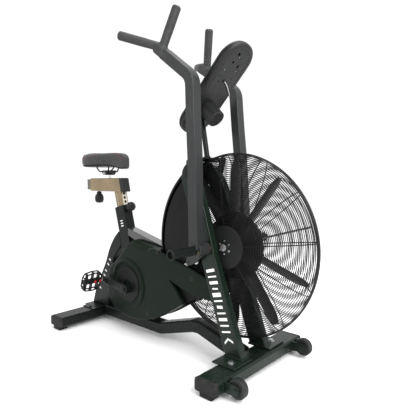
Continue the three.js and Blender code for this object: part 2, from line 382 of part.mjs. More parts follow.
// ---------------------------------------------------------------- seat
const railX0 = -922, railX1 = -649, railZ0 = 667, railZ1 = 733;
const railTube = cut(slab([[railX0, railZ0 + 1], [railX1, railZ0], [railX1 - 13, railZ1], [railX0, railZ1]], -22.5, 22.5),
  box(railX0 - 20, railX1 - 26, -18.2, 18.2, railZ0 + 5, railZ1 - 5),
  box(-856, -724, -14, 14, 700, 760), cylZ(6.4, 640, 690, -880, 0, 16));
const post = at(box(-25, 25, -19, 19, 0, 206), seatM);
add('seat_post', cut(join(railTube, cut(post, box(-760, -640, -30, 30, railZ0 + 2, 760))),
  ...[30, 60, 90].map((z) => at(new THREE.CylinderGeometry(5.5, 5.5, 8, 14).rotateZ(Math.PI / 2).translate(25, 0, z + 86), seatM))), 'tan');
add('seat_slider', cut(join(slab([[-958, 676], [-958, 727.6], [-902, 727.6], [-902, 678], [-940, 674]], -17.8, 17.8), box(-904, -732, -17.8, 17.8, 672.6, 727.6),
  cylZ(11, 700, 748, -790, 0, 24)), box(-960, -912, -13, 13, 681, 723)), 'steel');
add('slider_knob', join(cylZ(5.6, 650, 671.8, -880, 0, 16), cylZ(12, 650, 664, -880, 0, 20), cylZ(22, 606, 652, -880, 0, 10)), 'plastic');
add('height_knob', at(join(new THREE.CylinderGeometry(6, 6, 30, 16).rotateZ(Math.PI / 2).translate(40.6, 0, 116),
  new THREE.CylinderGeometry(21, 23, 30, 12).rotateZ(Math.PI / 2).translate(60, 0, 116)), seatM), 'plastic');
add('saddle_clamp', join(box(-812, -768, -21, 21, 748.3, 764), box(-850, -700, -24, -17, 762, 769), box(-850, -700, 17, 24, 762, 769),
  box(-850, -838, -24, 24, 762, 772), box(-712, -700, -24, 24, 762, 772), cylY(7, -28, 28, -790, 757, 12)), 'frame');
{
  // saddle: broad rear, narrow nose
  const secs = [[-938, 30, 804, 844], [-930, 64, 794, 856], [-905, 83, 787, 862], [-860, 86, 785, 862], [-812, 74, 787, 859], [-770, 51, 787, 857], [-730, 34, 784, 857], [-690, 27, 773, 856],
    [-655, 23, 766, 849], [-640, 12, 774, 832]];
  const rings = secs.map(([x, w, z0, z1]) => {
    const p = [];
    for (let i = 0; i < 16; i++) {
      const a = i * Math.PI / 8, c = Math.cos(a), s = Math.sin(a);
      const k = 0.62;
      const yy = w * Math.sign(c) * Math.abs(c) ** k, zz = (z0 + z1) / 2 + (z1 - z0) / 2 * Math.sign(s) * Math.abs(s) ** k;
      p.push([x, yy, zz]);
    }
    return p;
  });
  add('saddle', solid(loft(rings)), 'leather');
}

export default bike;
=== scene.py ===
# Air bike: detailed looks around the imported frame.
import math, random
import bpy, bmesh
from mathutils import Vector, Matrix
from mathutils.geometry import tessellate_polygon


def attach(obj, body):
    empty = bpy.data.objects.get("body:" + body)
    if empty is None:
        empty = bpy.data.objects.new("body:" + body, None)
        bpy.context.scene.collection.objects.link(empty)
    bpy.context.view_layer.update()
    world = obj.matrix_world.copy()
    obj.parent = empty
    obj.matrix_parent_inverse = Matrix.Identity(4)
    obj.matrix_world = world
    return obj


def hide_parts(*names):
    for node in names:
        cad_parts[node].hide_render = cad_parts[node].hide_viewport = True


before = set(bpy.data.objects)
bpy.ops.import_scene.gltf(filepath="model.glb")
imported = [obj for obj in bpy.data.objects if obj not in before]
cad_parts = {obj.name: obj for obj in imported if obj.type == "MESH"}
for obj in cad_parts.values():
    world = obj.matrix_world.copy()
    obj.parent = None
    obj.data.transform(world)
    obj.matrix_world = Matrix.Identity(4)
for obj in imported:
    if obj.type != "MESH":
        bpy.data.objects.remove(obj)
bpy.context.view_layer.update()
random.seed(7)
SX, SZ = 304.0, -16.0            # working mm to the row frame, as in the CAD source
D = math.pi / 180


def P(x, y, z):
    return Vector(((x + SX) / 1000, y / 1000, (z + SZ) / 1000))


# ------------------------------------------------------------------ camera
f = Vector((-0.6594, 0.7482, -0.0739)).normalized()
r0 = Vector((0.7502, 0.6612, 0)).normalized()
u0 = r0.cross(f).normalized()
roll = -0.419 * D
r2 = r0 * math.cos(roll) + u0 * math.sin(roll)
u2 = u0 * math.cos(roll) - r0 * math.sin(roll)
cam_data = bpy.data.cameras.new("camera")
cam = bpy.data.objects.new("camera", cam_data)
bpy.context.scene.collection.objects.link(cam)
m = Matrix((r2, u2, -f)).transposed().to_4x4()
m.translation = Vector((1.2516, -1.2238, 0.7160))
cam.matrix_world = m
cam_data.sensor_width = 36
cam_data.lens = 36 * 411.057 / 416
cam_data.clip_start, cam_data.clip_end = 0.05, 60
bpy.context.scene.camera = cam


# ------------------------------------------------------------------ materials
class N:
    """A small helper round a material's node tree."""

    def __init__(self, name):
        self.m = bpy.data.materials.new(name)
        self.m.use_nodes = True
        self.t = self.m.node_tree
        self.b = self.t.nodes["Principled BSDF"]
        self.co = self.t.nodes.new("ShaderNodeTexCoord").outputs["Object"]

    def link(self, a, b):
        self.t.links.new(a, b)

    def mapped(self, scale):
        n = self.t.nodes.new("ShaderNodeMapping")
        n.inputs["Scale"].default_value = scale
        self.link(self.co, n.inputs["Vector"])
        return n.outputs[0]

    def noise(self, scale, detail=3, rough=0.5, dist=0, vec=None):
        n = self.t.nodes.new("ShaderNodeTexNoise")
        n.inputs["Scale"].default_value = scale
        n.inputs["Detail"].default_value = detail
        n.inputs["Roughness"].default_value = rough
        n.inputs["Distortion"].default_value = dist
        self.link(vec or self.co, n.inputs["Vector"])
        return n.outputs["Fac"]

    def voronoi(self, scale, vec=None, feature="F1", out="Distance"):
        n = self.t.nodes.new("ShaderNodeTexVoronoi")
        n.feature = feature
        n.inputs["Scale"].default_value = scale
        self.link(vec or self.co, n.inputs["Vector"])
        return n.outputs[out]

    def ramp(self, src, a, b, lo=0.0, hi=1.0):
        n = self.t.nodes.new("ShaderNodeMapRange")
        n.inputs["From Min"].default_value, n.inputs["From Max"].default_value = a, b
        n.inputs["To Min"].default_value, n.inputs["To Max"].default_value = lo, hi
        self.link(src, n.inputs["Value"])
        return n.outputs[0]

    def math(self, op, a, b):
        n = self.t.nodes.new("ShaderNodeMath")
        n.operation = op
        for i, v in enumerate((a, b)):
            if isinstance(v, (int, float)):
                n.inputs[i].default_value = v
            else:
                self.link(v, n.inputs[i])
        return n.outputs[0]

    def mix(self, fac, a, b):
        n = self.t.nodes.new("ShaderNodeMix")
        n.data_type = "RGBA"
        for s, v in ((n.inputs[0], fac), (n.inputs[6], a), (n.inputs[7], b)):
            if isinstance(v, (int, float)):
                s.default_value = v
            elif isinstance(v, (tuple, list)):
                s.default_value = (*v, 1)
            else:
                self.link(v, s)
        return n.outputs[2]

    def up(self):
        g = self.t.nodes.new("ShaderNodeNewGeometry")
        s = self.t.nodes.new("ShaderNodeSeparateXYZ")
        self.link(g.outputs["Normal"], s.inputs[0])
        return s.outputs[2]

    def bump(self, heights):
        last = None
        for h, strength, distance in heights:
            n = self.t.nodes.new("ShaderNodeBump")
            n.inputs["Strength"].default_value = strength
            n.inputs["Distance"].default_value = distance
            self.link(h, n.inputs["Height"])
            if last is not None:
                self.link(last, n.inputs["Normal"])
            last = n.outputs[0]
        self.link(last, self.b.inputs["Normal"])


def sc(c, k):
    return tuple(min(1, max(0, x * k)) for x in c)


def coat(name, base, rough=0.45, metal=0.0, grain=700, bump=0.25, var=0.12, tint=None, scuff=0.5, dust=0.06, coatw=0.0, spec=0.5):
    """Powder coat or moulded plastic: grain, cloudy colour, scuffs, and a trace of dust on top faces."""
    n = N(name)
    cloud = n.noise(7, 4, 0.6)
    col = n.mix(n.ramp(cloud, 0.3, 0.7), sc(base, 1 - var), sc(base, 1 + var))
    if tint:
        col = n.mix(n.ramp(n.noise(1.5, 2, 0.4), 0.25, 0.75, 0.05, 0.7), col, tint)
    fine = n.noise(grain, 2, 0.6)
    col = n.mix(n.ramp(fine, 0.35, 0.75, 0, 0.35), col, sc(base, 1.6))
    sv = n.noise(1, 4, 0.6, vec=n.mapped((160, 38, 60)))
    gate = n.noise(11, 2, 0.5)
    mark = n.math("MULTIPLY", n.ramp(sv, 0.66, 0.70, 0, scuff), n.ramp(gate, 0.52, 0.66))
    col = n.mix(mark, col, sc([x + 0.018 for x in base], 1.9))
    top = n.math("MULTIPLY", n.ramp(n.up(), 0.55, 1.0, 0, dust), n.ramp(n.noise(26, 4, 0.7), 0.3, 0.8))
    col = n.mix(top, col, (0.42, 0.41, 0.39))
    n.link(col, n.b.inputs["Base Color"])
    r = n.math("ADD", n.ramp(n.noise(48, 4, 0.65), 0.25, 0.75, rough - 0.07, rough + 0.07), n.math("MULTIPLY", mark, 0.25))
    n.link(r, n.b.inputs["Roughness"])
    n.b.inputs["Metallic"].default_value = metal
    n.b.inputs["Specular IOR Level"].default_value = spec
    n.b.inputs["Coat Weight"].default_value = coatw
    n.b.inputs["Coat Roughness"].default_value = 0.25
    n.bump([(n.noise(95, 3, 0.5), bump * 0.35, 0.0006), (fine, bump, 0.00035)])
    return n.m


def brushed(name, base, rough=0.3, stretch=(900, 60, 900), metal=1.0, var=0.1):
    n = N(name)
    lines = n.noise(1, 3, 0.6, vec=n.mapped(stretch))
    cloud = n.noise(14, 4, 0.6)
    col = n.mix(n.ramp(cloud, 0.3, 0.7), sc(base, 1 - var), sc(base, 1 + var))
    spots = n.ramp(n.voronoi(240), 0.0, 0.07, 0.35, 0)
    col = n.mix(spots, col, sc(base, 0.35))
    n.link(col, n.b.inputs["Base Color"])
    n.link(n.ramp(lines, 0.3, 0.7, rough - 0.09, rough + 0.12), n.b.inputs["Roughness"])
    n.b.inputs["Metallic"].default_value = metal
    n.bump([(lines, 0.12, 0.0002)])
    return n.m


def rubber(name, base, rough=0.8, cell=520, bump=0.4):
    n = N(name)
    cloud = n.noise(10, 4, 0.6)
    col = n.mix(n.ramp(cloud, 0.3, 0.7), sc(base, 0.85), sc(base, 1.2))
    pores = n.voronoi(cell)
    col = n.mix(n.ramp(pores, 0.05, 0.3, 0.5, 0), col, sc(base, 0.45))
    dusty = n.math("MULTIPLY", n.ramp(n.noise(34, 4, 0.7), 0.5, 0.75), 0.05)
    col = n.mix(dusty, col, (0.35, 0.34, 0.32))
    n.link(col, n.b.inputs["Base Color"])
    n.link(n.ramp(n.noise(60, 3), 0.3, 0.7, rough - 0.08, rough + 0.08), n.b.inputs["Roughness"])
    n.b.inputs["Specular IOR Level"].default_value = 0.35
    n.bump([(pores, bump, 0.0003), (n.noise(300, 3), bump * 0.6, 0.0003)])
    return n.m


def leather(name, base):
    n = N(name)
    warp = n.noise(22, 3, 0.5)
    cells = n.voronoi(430, feature="DISTANCE_TO_EDGE")
    crease = n.noise(1, 5, 0.65, vec=n.mapped((40, 70, 60)))
    col = n.mix(n.ramp(warp, 0.3, 0.7), sc(base, 0.8), sc(base, 1.35))
    col = n.mix(n.ramp(cells, 0.0, 0.06, 0.5, 0), col, sc(base, 0.4))
    # painted sheen: upward faces are made lighter in colour as if catching the light from above; the lower roughness on
    # them is real polish from use
    polish_and_painted_sheen = n.math("MULTIPLY", n.ramp(n.up(), 0.5, 1.0), n.ramp(n.noise(9, 3), 0.35, 0.65))
    col = n.mix(n.math("MULTIPLY", polish_and_painted_sheen, 0.35), col, sc(base, 2.4))
    n.link(col, n.b.inputs["Base Color"])
    n.link(n.math("SUBTRACT", n.ramp(n.noise(70, 4), 0.3, 0.7, 0.5, 0.66), n.math("MULTIPLY", polish_and_painted_sheen, 0.12)), n.b.inputs["Roughness"])
    n.b.inputs["Sheen Weight"].default_value = 0.15
    n.bump([(crease, 0.18, 0.0012), (n.ramp(cells, 0, 0.12), 0.45, 0.0004)])
    return n.m


def simple_print(name, base, rough=0.5):
    """Screen-printed ink: slightly worn, with pinholes."""
    n = N(name)
    wear = n.ramp(n.noise(420, 4, 0.7), 0.66, 0.72, 0, 0.6)
    col = n.mix(n.ramp(n.noise(40, 3), 0.3, 0.7), sc(base, 0.93), sc(base, 1.03))
    col = n.mix(wear, col, sc(base, 0.45))
    n.link(col, n.b.inputs["Base Color"])
    n.link(n.ramp(n.noise(90, 3), 0.3, 0.7, rough - 0.06, rough + 0.08), n.b.inputs["Roughness"])
    n.bump([(n.noise(600, 2), 0.15, 0.0002)])
    return n.m


M = {}
M["frame"] = coat("frame_black_coat", (0.0060, 0.0068, 0.0068), 0.30, 0.0, tint=(0.005, 0.010, 0.007), dust=0.0, spec=0.14)
M["leg"] = coat("leg_green_black_coat", (0.0055, 0.0092, 0.0072), 0.28, 0.0, tint=(0.005, 0.015, 0.008), dust=0.01, spec=0.22)
M["arm"] = coat("arm_grey_coat", (0.0185, 0.0192, 0.0198), 0.36, 0.0, grain=900, scuff=0.3, dust=0.01, spec=0.28)
M["wire"] = coat("wire_black_coat", (0.004, 0.004, 0.0043), 0.36, 0.0, grain=500, dust=0.0, spec=0.25)
M["shield"] = coat("shield_plastic", (0.0070, 0.0070, 0.0073), 0.46, 0.0, grain=1100, bump=0.35, dust=0.0, spec=0.10)
M["hub"] = coat("hub_plastic", (0.0085, 0.0088, 0.009), 0.52, 0.0, grain=1200, bump=0.3, dust=0.0, spec=0.16)
M["fan"] = coat("fan_grey_coat", (0.013, 0.0134, 0.0140), 0.44, 0.2, spec=0.22)
M["cover"] = coat("cover_plastic", (0.0042, 0.0062, 0.0050), 0.34, 0.0, grain=1300, bump=0.3, tint=(0.0045, 0.0145, 0.0055), dust=0.0, spec=0.08)
M["disc"] = coat("disc_plastic", (0.0045, 0.0048, 0.0048), 0.42, 0.0, grain=1300, bump=0.35, dust=0.01, spec=0.15)
M["plastic"] = coat("black_plastic", (0.0055, 0.0055, 0.0058), 0.42, 0.0, grain=1000, bump=0.35, dust=0.01, spec=0.24)
M["console"] = coat("console_plastic", (0.0088, 0.0091, 0.0094), 0.46, 0.0, grain=1500, bump=0.5, dust=0.01, spec=0.28)
M["slider"] = coat("slider_grey_coat", (0.105, 0.098, 0.082), 0.40, 0.4, grain=420, bump=0.7, var=0.3, scuff=0.5, dust=0.0)
M["tube"] = coat("tube_gloss_coat", (0.0065, 0.0070, 0.0070), 0.17, 0.0, dust=0.01, coatw=0.9, spec=0.5)
M["tan"] = coat("tan_bronze_coat", (0.215, 0.160, 0.088), 0.42, 0.35, grain=420, bump=0.9, var=0.30, scuff=0.4, dust=0.0)
M["steel"] = brushed("zinc_steel", (0.55, 0.55, 0.56), 0.34)
M["chrome"] = brushed("chrome", (0.86, 0.86, 0.87), 0.12, var=0.03)
M["bolt"] = brushed("bolt_steel", (0.42, 0.43, 0.44), 0.3, stretch=(300, 300, 300))
M["bronze"] = brushed("bronze_bush", (0.64, 0.44, 0.18), 0.28)
M["rubber"] = rubber("foot_rubber", (0.009, 0.009, 0.009))
M["tyre"] = rubber("wheel_rubber", (0.009, 0.011, 0.0105), 0.58, 300, 0.25)
M["belt"] = rubber("belt_rubber", (0.012, 0.012, 0.012), 0.7)
M["grip"] = rubber("grip_foam", (0.026, 0.0265, 0.027), 0.62, 900, 0.35)
M["leather"] = leather("saddle_leather", (0.013, 0.013, 0.014))
M["thread"] = rubber("red_thread", (0.22, 0.035, 0.045), 0.75, 1500, 0.3)
M["white"] = simple_print("white_print", (0.80, 0.80, 0.79))
M["label"] = simple_print("cream_label", (0.56, 0.54, 0.47))
M["button"] = rubber("button_rubber", (0.20, 0.20, 0.20), 0.6)
M["cable"] = coat("cable_jacket", (0.45, 0.45, 0.44), 0.5, grain=800)


def reflector():
    n = N("red_reflector")
    v = n.voronoi(330)
    col = n.mix(n.ramp(v, 0.1, 0.5), (0.85, 0.05, 0.03), (0.45, 0.01, 0.01))
    n.link(col, n.b.inputs["Base Color"])
    n.link(n.ramp(n.noise(200), 0.3, 0.7, 0.12, 0.22), n.b.inputs["Roughness"])
    n.b.inputs["Coat Weight"].default_value = 0.6
    n.bump([(v, 0.5, 0.0008)])
    return n.m


M["red"] = reflector()


def glass_dark():
    n = N("display_window")
    col = n.mix(n.ramp(n.noise(8, 3), 0.3, 0.7), (0.020, 0.026, 0.024), (0.032, 0.040, 0.037))
    n.link(col, n.b.inputs["Base Color"])
    n.link(n.ramp(n.noise(55, 4), 0.3, 0.7, 0.10, 0.2), n.b.inputs["Roughness"])
    n.b.inputs["Coat Weight"].default_value = 0.5
    n.bump([(n.noise(500, 2), 0.04, 0.0002)])
    return n.m


M["screen"] = glass_dark()


# ------------------------------------------------------------------ mesh building
class B:
    """Gathers closed shapes, in working millimetres, into one mesh."""

    def __init__(self):
        self.v, self.f = [], []

    def put(self, verts, faces):
        k = len(self.v)
        self.v += [tuple(p) for p in verts]
        self.f += [tuple(i + k for i in q) for q in faces]
        return self

    def turned(self, mat):
        for i, p in enumerate(self.v):
            self.v[i] = tuple(mat @ Vector(p))
        return self

    def mirrored(self):
        self.v = [(x, -y, z) for x, y, z in self.v]
        self.f = [tuple(reversed(q)) for q in self.f]
        return self

    def copy(self):
        b = B()
        b.v, b.f = list(self.v), list(self.f)
        return b


def bridge(rings, closed=True, caps=True, loop=False):
    """Faces between rings of points; each ring is a closed loop of the same count."""
    n = len(rings[0])
    v = [p for r in rings for p in r]
    fs = []
    k = len(rings)
    for a in range(k if loop else k - 1):
        b = (a + 1) % k
        for i in range(n if closed else n - 1):
            j = (i + 1) % n
            fs.append((a * n + i, a * n + j, b * n + j, b * n + i))
    if caps and not loop:
        fs.append(tuple(reversed(range(n))))
        fs.append(tuple((k - 1) * n + i for i in range(n)))
    return v, fs


def area2(p):
    return sum(p[i][0] * p[(i + 1) % len(p)][1] - p[(i + 1) % len(p)][0] * p[i][1] for i in range(len(p)))


def inset(p, d):
    """Closed outline moved inward by d."""
    if area2(p) < 0:
        p = p[::-1]
    n, out = len(p), []
    for i in range(n):
        a, q, c = p[i - 1], p[i], p[(i + 1) % n]
        e1, e2 = (q[0] - a[0], q[1] - a[1]), (c[0] - q[0], c[1] - q[1])
        l1, l2 = math.hypot(*e1) or 1e-9, math.hypot(*e2) or 1e-9
        n1, n2 = (-e1[1] / l1, e1[0] / l1), (-e2[1] / l2, e2[0] / l2)
        k = d / max(0.4, 1 + n1[0] * n2[0] + n1[1] * n2[1])
        out.append((q[0] + (n1[0] + n2[0]) * k, q[1] + (n1[1] + n2[1]) * k))
    return out


def smooth_outline(p, corner=42, step=7, closed=True):
    """Outline resampled along a Catmull-Rom curve, keeping corners sharper than the given angle."""
    n = len(p)
    sharp = []
    for i in range(n):
        if not closed and i in (0, n - 1):
            sharp.append(True)
            continue
        a, q, c = p[i - 1], p[i], p[(i + 1) % n]
        t = math.degrees(abs(math.atan2((q[0] - a[0]) * (c[1] - q[1]) - (q[1] - a[1]) * (c[0] - q[0]),
                                        (q[0] - a[0]) * (c[0] - q[0]) + (q[1] - a[1]) * (c[1] - q[1]))))
        sharp.append(t > corner)
    out = []
    for i in range(n if closed else n - 1):
        p1, p2 = p[i], p[(i + 1) % n]
        p0 = p[i - 1] if not sharp[i] else (2 * p1[0] - p2[0], 2 * p1[1] - p2[1])
        p3 = p[(i + 2) % n] if not sharp[(i + 1) % n] else (2 * p2[0] - p1[0], 2 * p2[1] - p1[1])
        L = math.dist(p1, p2)
        k = max(1, int(L / step))
        # centripetal tangents keep uneven spacing smooth
        d1, d0, d2 = max(L, 1e-6), max(math.dist(p0, p1), 1e-6), max(math.dist(p2, p3), 1e-6)
        t1 = [(p1[j] - p0[j]) / d0 - (p2[j] - p0[j]) / (d0 + d1) + (p2[j] - p1[j]) / d1 for j in (0, 1)]
        t2 = [(p2[j] - p1[j]) / d1 - (p3[j] - p1[j]) / (d1 + d2) + (p3[j] - p2[j]) / d2 for j in (0, 1)]
        for s in range(k):
            u = s / k
            h = (2 * u**3 - 3 * u**2 + 1, u**3 - 2 * u**2 + u, -2 * u**3 + 3 * u**2, u**3 - u**2)
            out.append(tuple(h[0] * p1[j] + h[1] * d1 * t1[j] + h[2] * p2[j] + h[3] * d1 * t2[j] for j in (0, 1)))
    if not closed:
        out.append(tuple(p[-1]))
    return out


def fillet(p, r, k=6, closed=False):
    """Polyline with its corners rounded; r may be a list."""
    n, out = len(p), []
    for i in range(n):
        if not closed and i in (0, n - 1):
            out.append(tuple(p[i]))
            continue
        a, q, c = Vector(p[i - 1]), Vector(p[i]), Vector(p[(i + 1) % n])
        rr = r[i] if isinstance(r, (list, tuple)) else r
        e1, e2 = (a - q), (c - q)
        ang = e1.angle(e2)
        if rr <= 0 or ang > math.pi - 0.02:
            out.append(tuple(q))
            continue
        t = min(rr / math.tan(ang / 2), e1.length * 0.48, e2.length * 0.48)
        s, e = q + e1.normalized() * t, q + e2.normalized() * t
        for j in range(k + 1):
            u = j / k
            out.append(tuple(s * (1 - u) ** 2 + q * 2 * u * (1 - u) + e * u**2))
    return out


def rslab(b, outline, y0, y1, r=4, k=4, r1=None):
    """Closed outline in X-Z, from y0 to y1, with rounded edges of radius r at y0 and r1 at y1."""
    if area2(outline) < 0:
        outline = outline[::-1]
    r1 = r if r1 is None else r1
    rings = []
    for j in range(k + 1) if r > 0 else [k]:
        t = math.pi / 2 * j / k
        d, y = r * (1 - math.sin(t)), y0 + r * (1 - math.cos(t))
        rings.append([(x, y, z) for x, z in (inset(outline, d) if d > 1e-6 else outline)])
    for j in range(k, -1, -1) if r1 > 0 else [k]:
        t = math.pi / 2 * j / k
        d, y = r1 * (1 - math.sin(t)), y1 - r1 * (1 - math.cos(t))
        rings.append([(x, y, z) for x, z in (inset(outline, d) if d > 1e-6 else outline)])
    v, fs = bridge(rings)
    return b.put(v, fs)


def rrect(w, h, r, k=4):
    pts = []
    for cx, cy, a0 in ((w / 2 - r, h / 2 - r, 0), (-w / 2 + r, h / 2 - r, 90), (-w / 2 + r, -h / 2 + r, 180), (w / 2 - r, -h / 2 + r, 270)):
        for i in range(k + 1):
            a = (a0 + 90 * i / k) * D
            pts.append((cx + r * math.cos(a), cy + r * math.sin(a)))
    return pts


def circ(r, n=24):
    return [(r * math.cos(2 * math.pi * i / n), r * math.sin(2 * math.pi * i / n)) for i in range(n)]


def sweep(b, path, section, side=(0, 1, 0), cap_r=0, loop=False, fixed=True):
    """Section (u, v) along 3-D path. With fixed, v stays on the side vector and u is in the plane of the path."""
    pts = [Vector(p) for p in path]
    n = len(pts)
    S = Vector(side).normalized()
    rings, u_prev = [], None
    for i in range(n):
        a = pts[i - 1] if (i or loop) else pts[i]
        c = pts[(i + 1) % n] if (i < n - 1 or loop) else pts[i]
        T = (c - a).normalized()
        if fixed:
            U = S.cross(T).normalized()
            W = T.cross(U).normalized()
        else:
            if u_prev is None:
                U = S.cross(T)
                if U.length < 1e-4:
                    U = Vector((1, 0, 0)).cross(T)
                U.normalize()
            else:
                U = (u_prev - T * u_prev.dot(T)).normalized()
            u_prev = U
            W = T.cross(U)
        # mitre stretch at bends
        k = 1.0
        if 0 < i < n - 1 or loop:
            d1, d2 = (pts[i] - pts[i - 1]).normalized(), (pts[(i + 1) % n] - pts[i]).normalized()
            k = 1 / max(0.5, math.sqrt((1 + d1.dot(d2)) / 2))
        rings.append([tuple(pts[i] + U * (p[0] * (k if fixed else 1)) + W * p[1]) for p in section])
    if cap_r > 0 and not loop:
        for end in (0, -1):
            base = [Vector(p) for p in rings[end]]
            c = sum(base, Vector()) / len(base)
            T = (pts[0] - pts[1]).normalized() if end == 0 else (pts[-1] - pts[-2]).normalized()
            new = []
            size = max((p - c).length for p in base)
            for j in range(1, 6):
                t = math.pi / 2 * j / 5
                s = (size - cap_r * (1 - math.cos(t))) / size
                new.append([tuple(c + (p - c) * s + T * cap_r * math.sin(t)) for p in base])
            rings = (new[::-1] + rings) if end == 0 else (rings + new)
    v, fs = bridge(rings, loop=loop)
    return b.put(v, fs)


def lathe(b, prof, o, axis=(0, 1, 0), n=64, a0=0.0, a1=2 * math.pi):
    """Profile (radius, along) about an axis through o; a closed solid if the profile starts and ends on the axis or is a loop."""
    A = Vector(axis).normalized()
    X = A.orthogonal().normalized() if abs(A.y) < 0.99 else Vector((1, 0, 0))
    Z = X.cross(A)
    O = Vector(o)
    full = abs(a1 - a0 - 2 * math.pi) < 1e-6
    cols = n if full else n + 1
    on = [p[0] < 1e-6 for p in prof]
    verts, idx = [], []
    for (r, h), axis_pt in zip(prof, on):
        if axis_pt:
            idx.append([len(verts)] * cols)
            verts.append(O + A * h)
        else:
            row = []
            for i in range(cols):
                a = a0 + (a1 - a0) * i / n
                row.append(len(verts))
                verts.append(O + A * h + (X * math.cos(a) + Z * math.sin(a)) * r)
            idx.append(row)
    fs = []
    k = len(prof)
    loop = not (on[0] and on[-1])
    for s in range(k if loop else k - 1):
        t = (s + 1) % k
        for i in range(cols if full else cols - 1):
            j = (i + 1) % cols
            q = [idx[s][i], idx[s][j], idx[t][j], idx[t][i]]
            q = [x for e, x in enumerate(q) if x != q[e - 1]]
            if len(set(q)) >= 3:
                fs.append(tuple(dict.fromkeys(q)))
    if not full:
        for c in (0, cols - 1):
            fs.append(tuple(idx[s][c] for s in (range(k) if c else reversed(range(k)))))
    return b.put([tuple(p) for p in verts], fs)


def rprof(r, h0, h1, e=1.5, k=3, r_in=None):
    """Profile of a disc or ring with rounded outer edges."""
    out = [(0 if r_in is None else r_in, h0)]
    for j in range(k + 1):
        t = math.pi / 2 * j / k
        out.append((r - e * (1 - math.sin(t)), h0 + e * (1 - math.cos(t))))
    for j in range(k, -1, -1):
        t = math.pi / 2 * j / k
        out.append((r - e * (1 - math.sin(t)), h1 - e * (1 - math.cos(t))))
    out.append((0 if r_in is None else r_in, h1))
    return out


def block(b, x0, x1, y0, y1, z0, z1, r=2, k=3):
    """Box with all edges rounded."""
    rings = []
    cx, cy = (x0 + x1) / 2, (y0 + y1) / 2
    lv = []
    for j in range(k + 1):
        t = math.pi / 2 * j / k
        lv.append((r * (1 - math.sin(t)), z0 + r * (1 - math.cos(t))))
    for j in range(k, -1, -1):
        t = math.pi / 2 * j / k
        lv.append((r * (1 - math.sin(t)), z1 - r * (1 - math.cos(t))))
    for d, z in lv:
        rings.append([(cx + u, cy + v, z) for u, v in rrect(x1 - x0 - 2 * d, y1 - y0 - 2 * d, max(r - d, 0.05), 3)])
    v, fs = bridge(rings)
    return b.put(v, fs)


def hexhead(b, o, axis, r, h, washer=0, wh=1.2):
    """Hexagon bolt head with a chamfer and an optional washer."""
    A = Vector(axis).normalized()
    O = Vector(o)
    if washer:
        lathe(b, rprof(washer, -0.4, wh, 0.4), O, A, 32)
    X = A.orthogonal().normalized()
    Z = X.cross(A)
    rings = []
    for rr, hh in ((r, -0.4), (r, h * 0.72), (r * 0.86, h)):
        ring = []
        for i in range(24):
            a = i * 15 * D
            rad = rr * (math.cos(30 * D) / math.cos(((a / D) % 60 - 30) * D)) if rr == r else min(rr, 9e9)
            ring.append(tuple(O + A * hh + (X * math.cos(a) + Z * math.sin(a)) * rad))
        rings.append(ring)
    v, fs = bridge(rings)
    return b.put(v, fs)


def sockethead(b, o, axis, r, h):
    """Round cap screw with a recessed drive."""
    lathe(b, [(0, h * 0.35), (r * 0.5, h * 0.35), (r * 0.52, h), (r * 0.85, h), (r, h * 0.8), (r, -0.4), (0, -0.4)], o, axis, 28)


def make(name, b, mat, body, slot, stands=(), wn=True, sharp=40, mats=None):
    me = bpy.data.meshes.new(name)
    me.from_pydata([P(*p) for p in b.v], [], b.f)
    me.validate()
    bm = bmesh.new()
    bm.from_mesh(me)
    bmesh.ops.remove_doubles(bm, verts=bm.verts, dist=2e-6)
    bmesh.ops.recalc_face_normals(bm, faces=bm.faces)
    bm.to_mesh(me)
    bm.free()
    me.shade_smooth()
    me.set_sharp_from_angle(angle=sharp * D)
    o = bpy.data.objects.new(name, me)
    bpy.context.scene.collection.objects.link(o)
    me.materials.append(M[mat])
    if wn:
        w = o.modifiers.new("normals", "WEIGHTED_NORMAL")
        w.keep_sharp = True
        w.weight = 60
    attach(o, body)
    if stands:
        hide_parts(*stands)
    return o


def keep(node, mat, width=0.0015, seg=3, angle=28):
    """A CAD node that stays: welded, edges rounded, and given its material."""
    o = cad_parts[node]
    me = o.data
    me.materials.clear()
    me.materials.append(M[mat])
    for a in ("custom_normal",):
        if a in me.attributes:
            me.attributes.remove(me.attributes[a])
    w = o.modifiers.new("weld", "WELD")
    w.merge_threshold = 2e-5
    if width:
        v = o.modifiers.new("edges", "BEVEL")
        v.width = width
        v.segments = seg
        v.limit_method = "ANGLE"
        v.angle_limit = angle * D
        v.harden_normals = True
        v.use_clamp_overlap = True
    for p in me.polygons:
        p.use_smooth = True
    n = o.modifiers.new("normals", "WEIGHTED_NORMAL")
    n.keep_sharp = True
    n.weight = 60
    return o


FAN_Z, DRUM_R = 474, 350
CRX, CRZ, CRL, CRA = -545, 230, 165, 171.2
PVX, PVZ = -54, 471


def rotY(cx, cz, deg):
    """Turn about a Y axis through (cx, cz); positive takes +X toward +Z."""
    return Matrix.Translation((cx, 0, cz)) @ Matrix.Rotation(-deg * D, 4, "Y") @ Matrix.Translation((-cx, 0, -cz))


def both(base, build, mat, body, slot, stands=None, left=None, **kw):
    """Right piece and its mirrored left piece."""
    for side in ("right", "left"):
        b = build()
        if side == "left":
            b.mirrored()
            if left is not None:
                b.turned(left)
        bd = body if isinstance(body, str) else body[side == "left"]
        st = tuple(s + "_" + side for s in ((stands or base,) if not isinstance(stands, tuple) else stands)) if stands != () else ()
        make(base + "_" + side + "_piece", b, mat, bd, slot, st, **kw)


# ------------------------------------------------------------------ base frame
keep("rear_stabilizer", "frame", 0.0028)
keep("front_stabilizer", "leg", 0.0022)


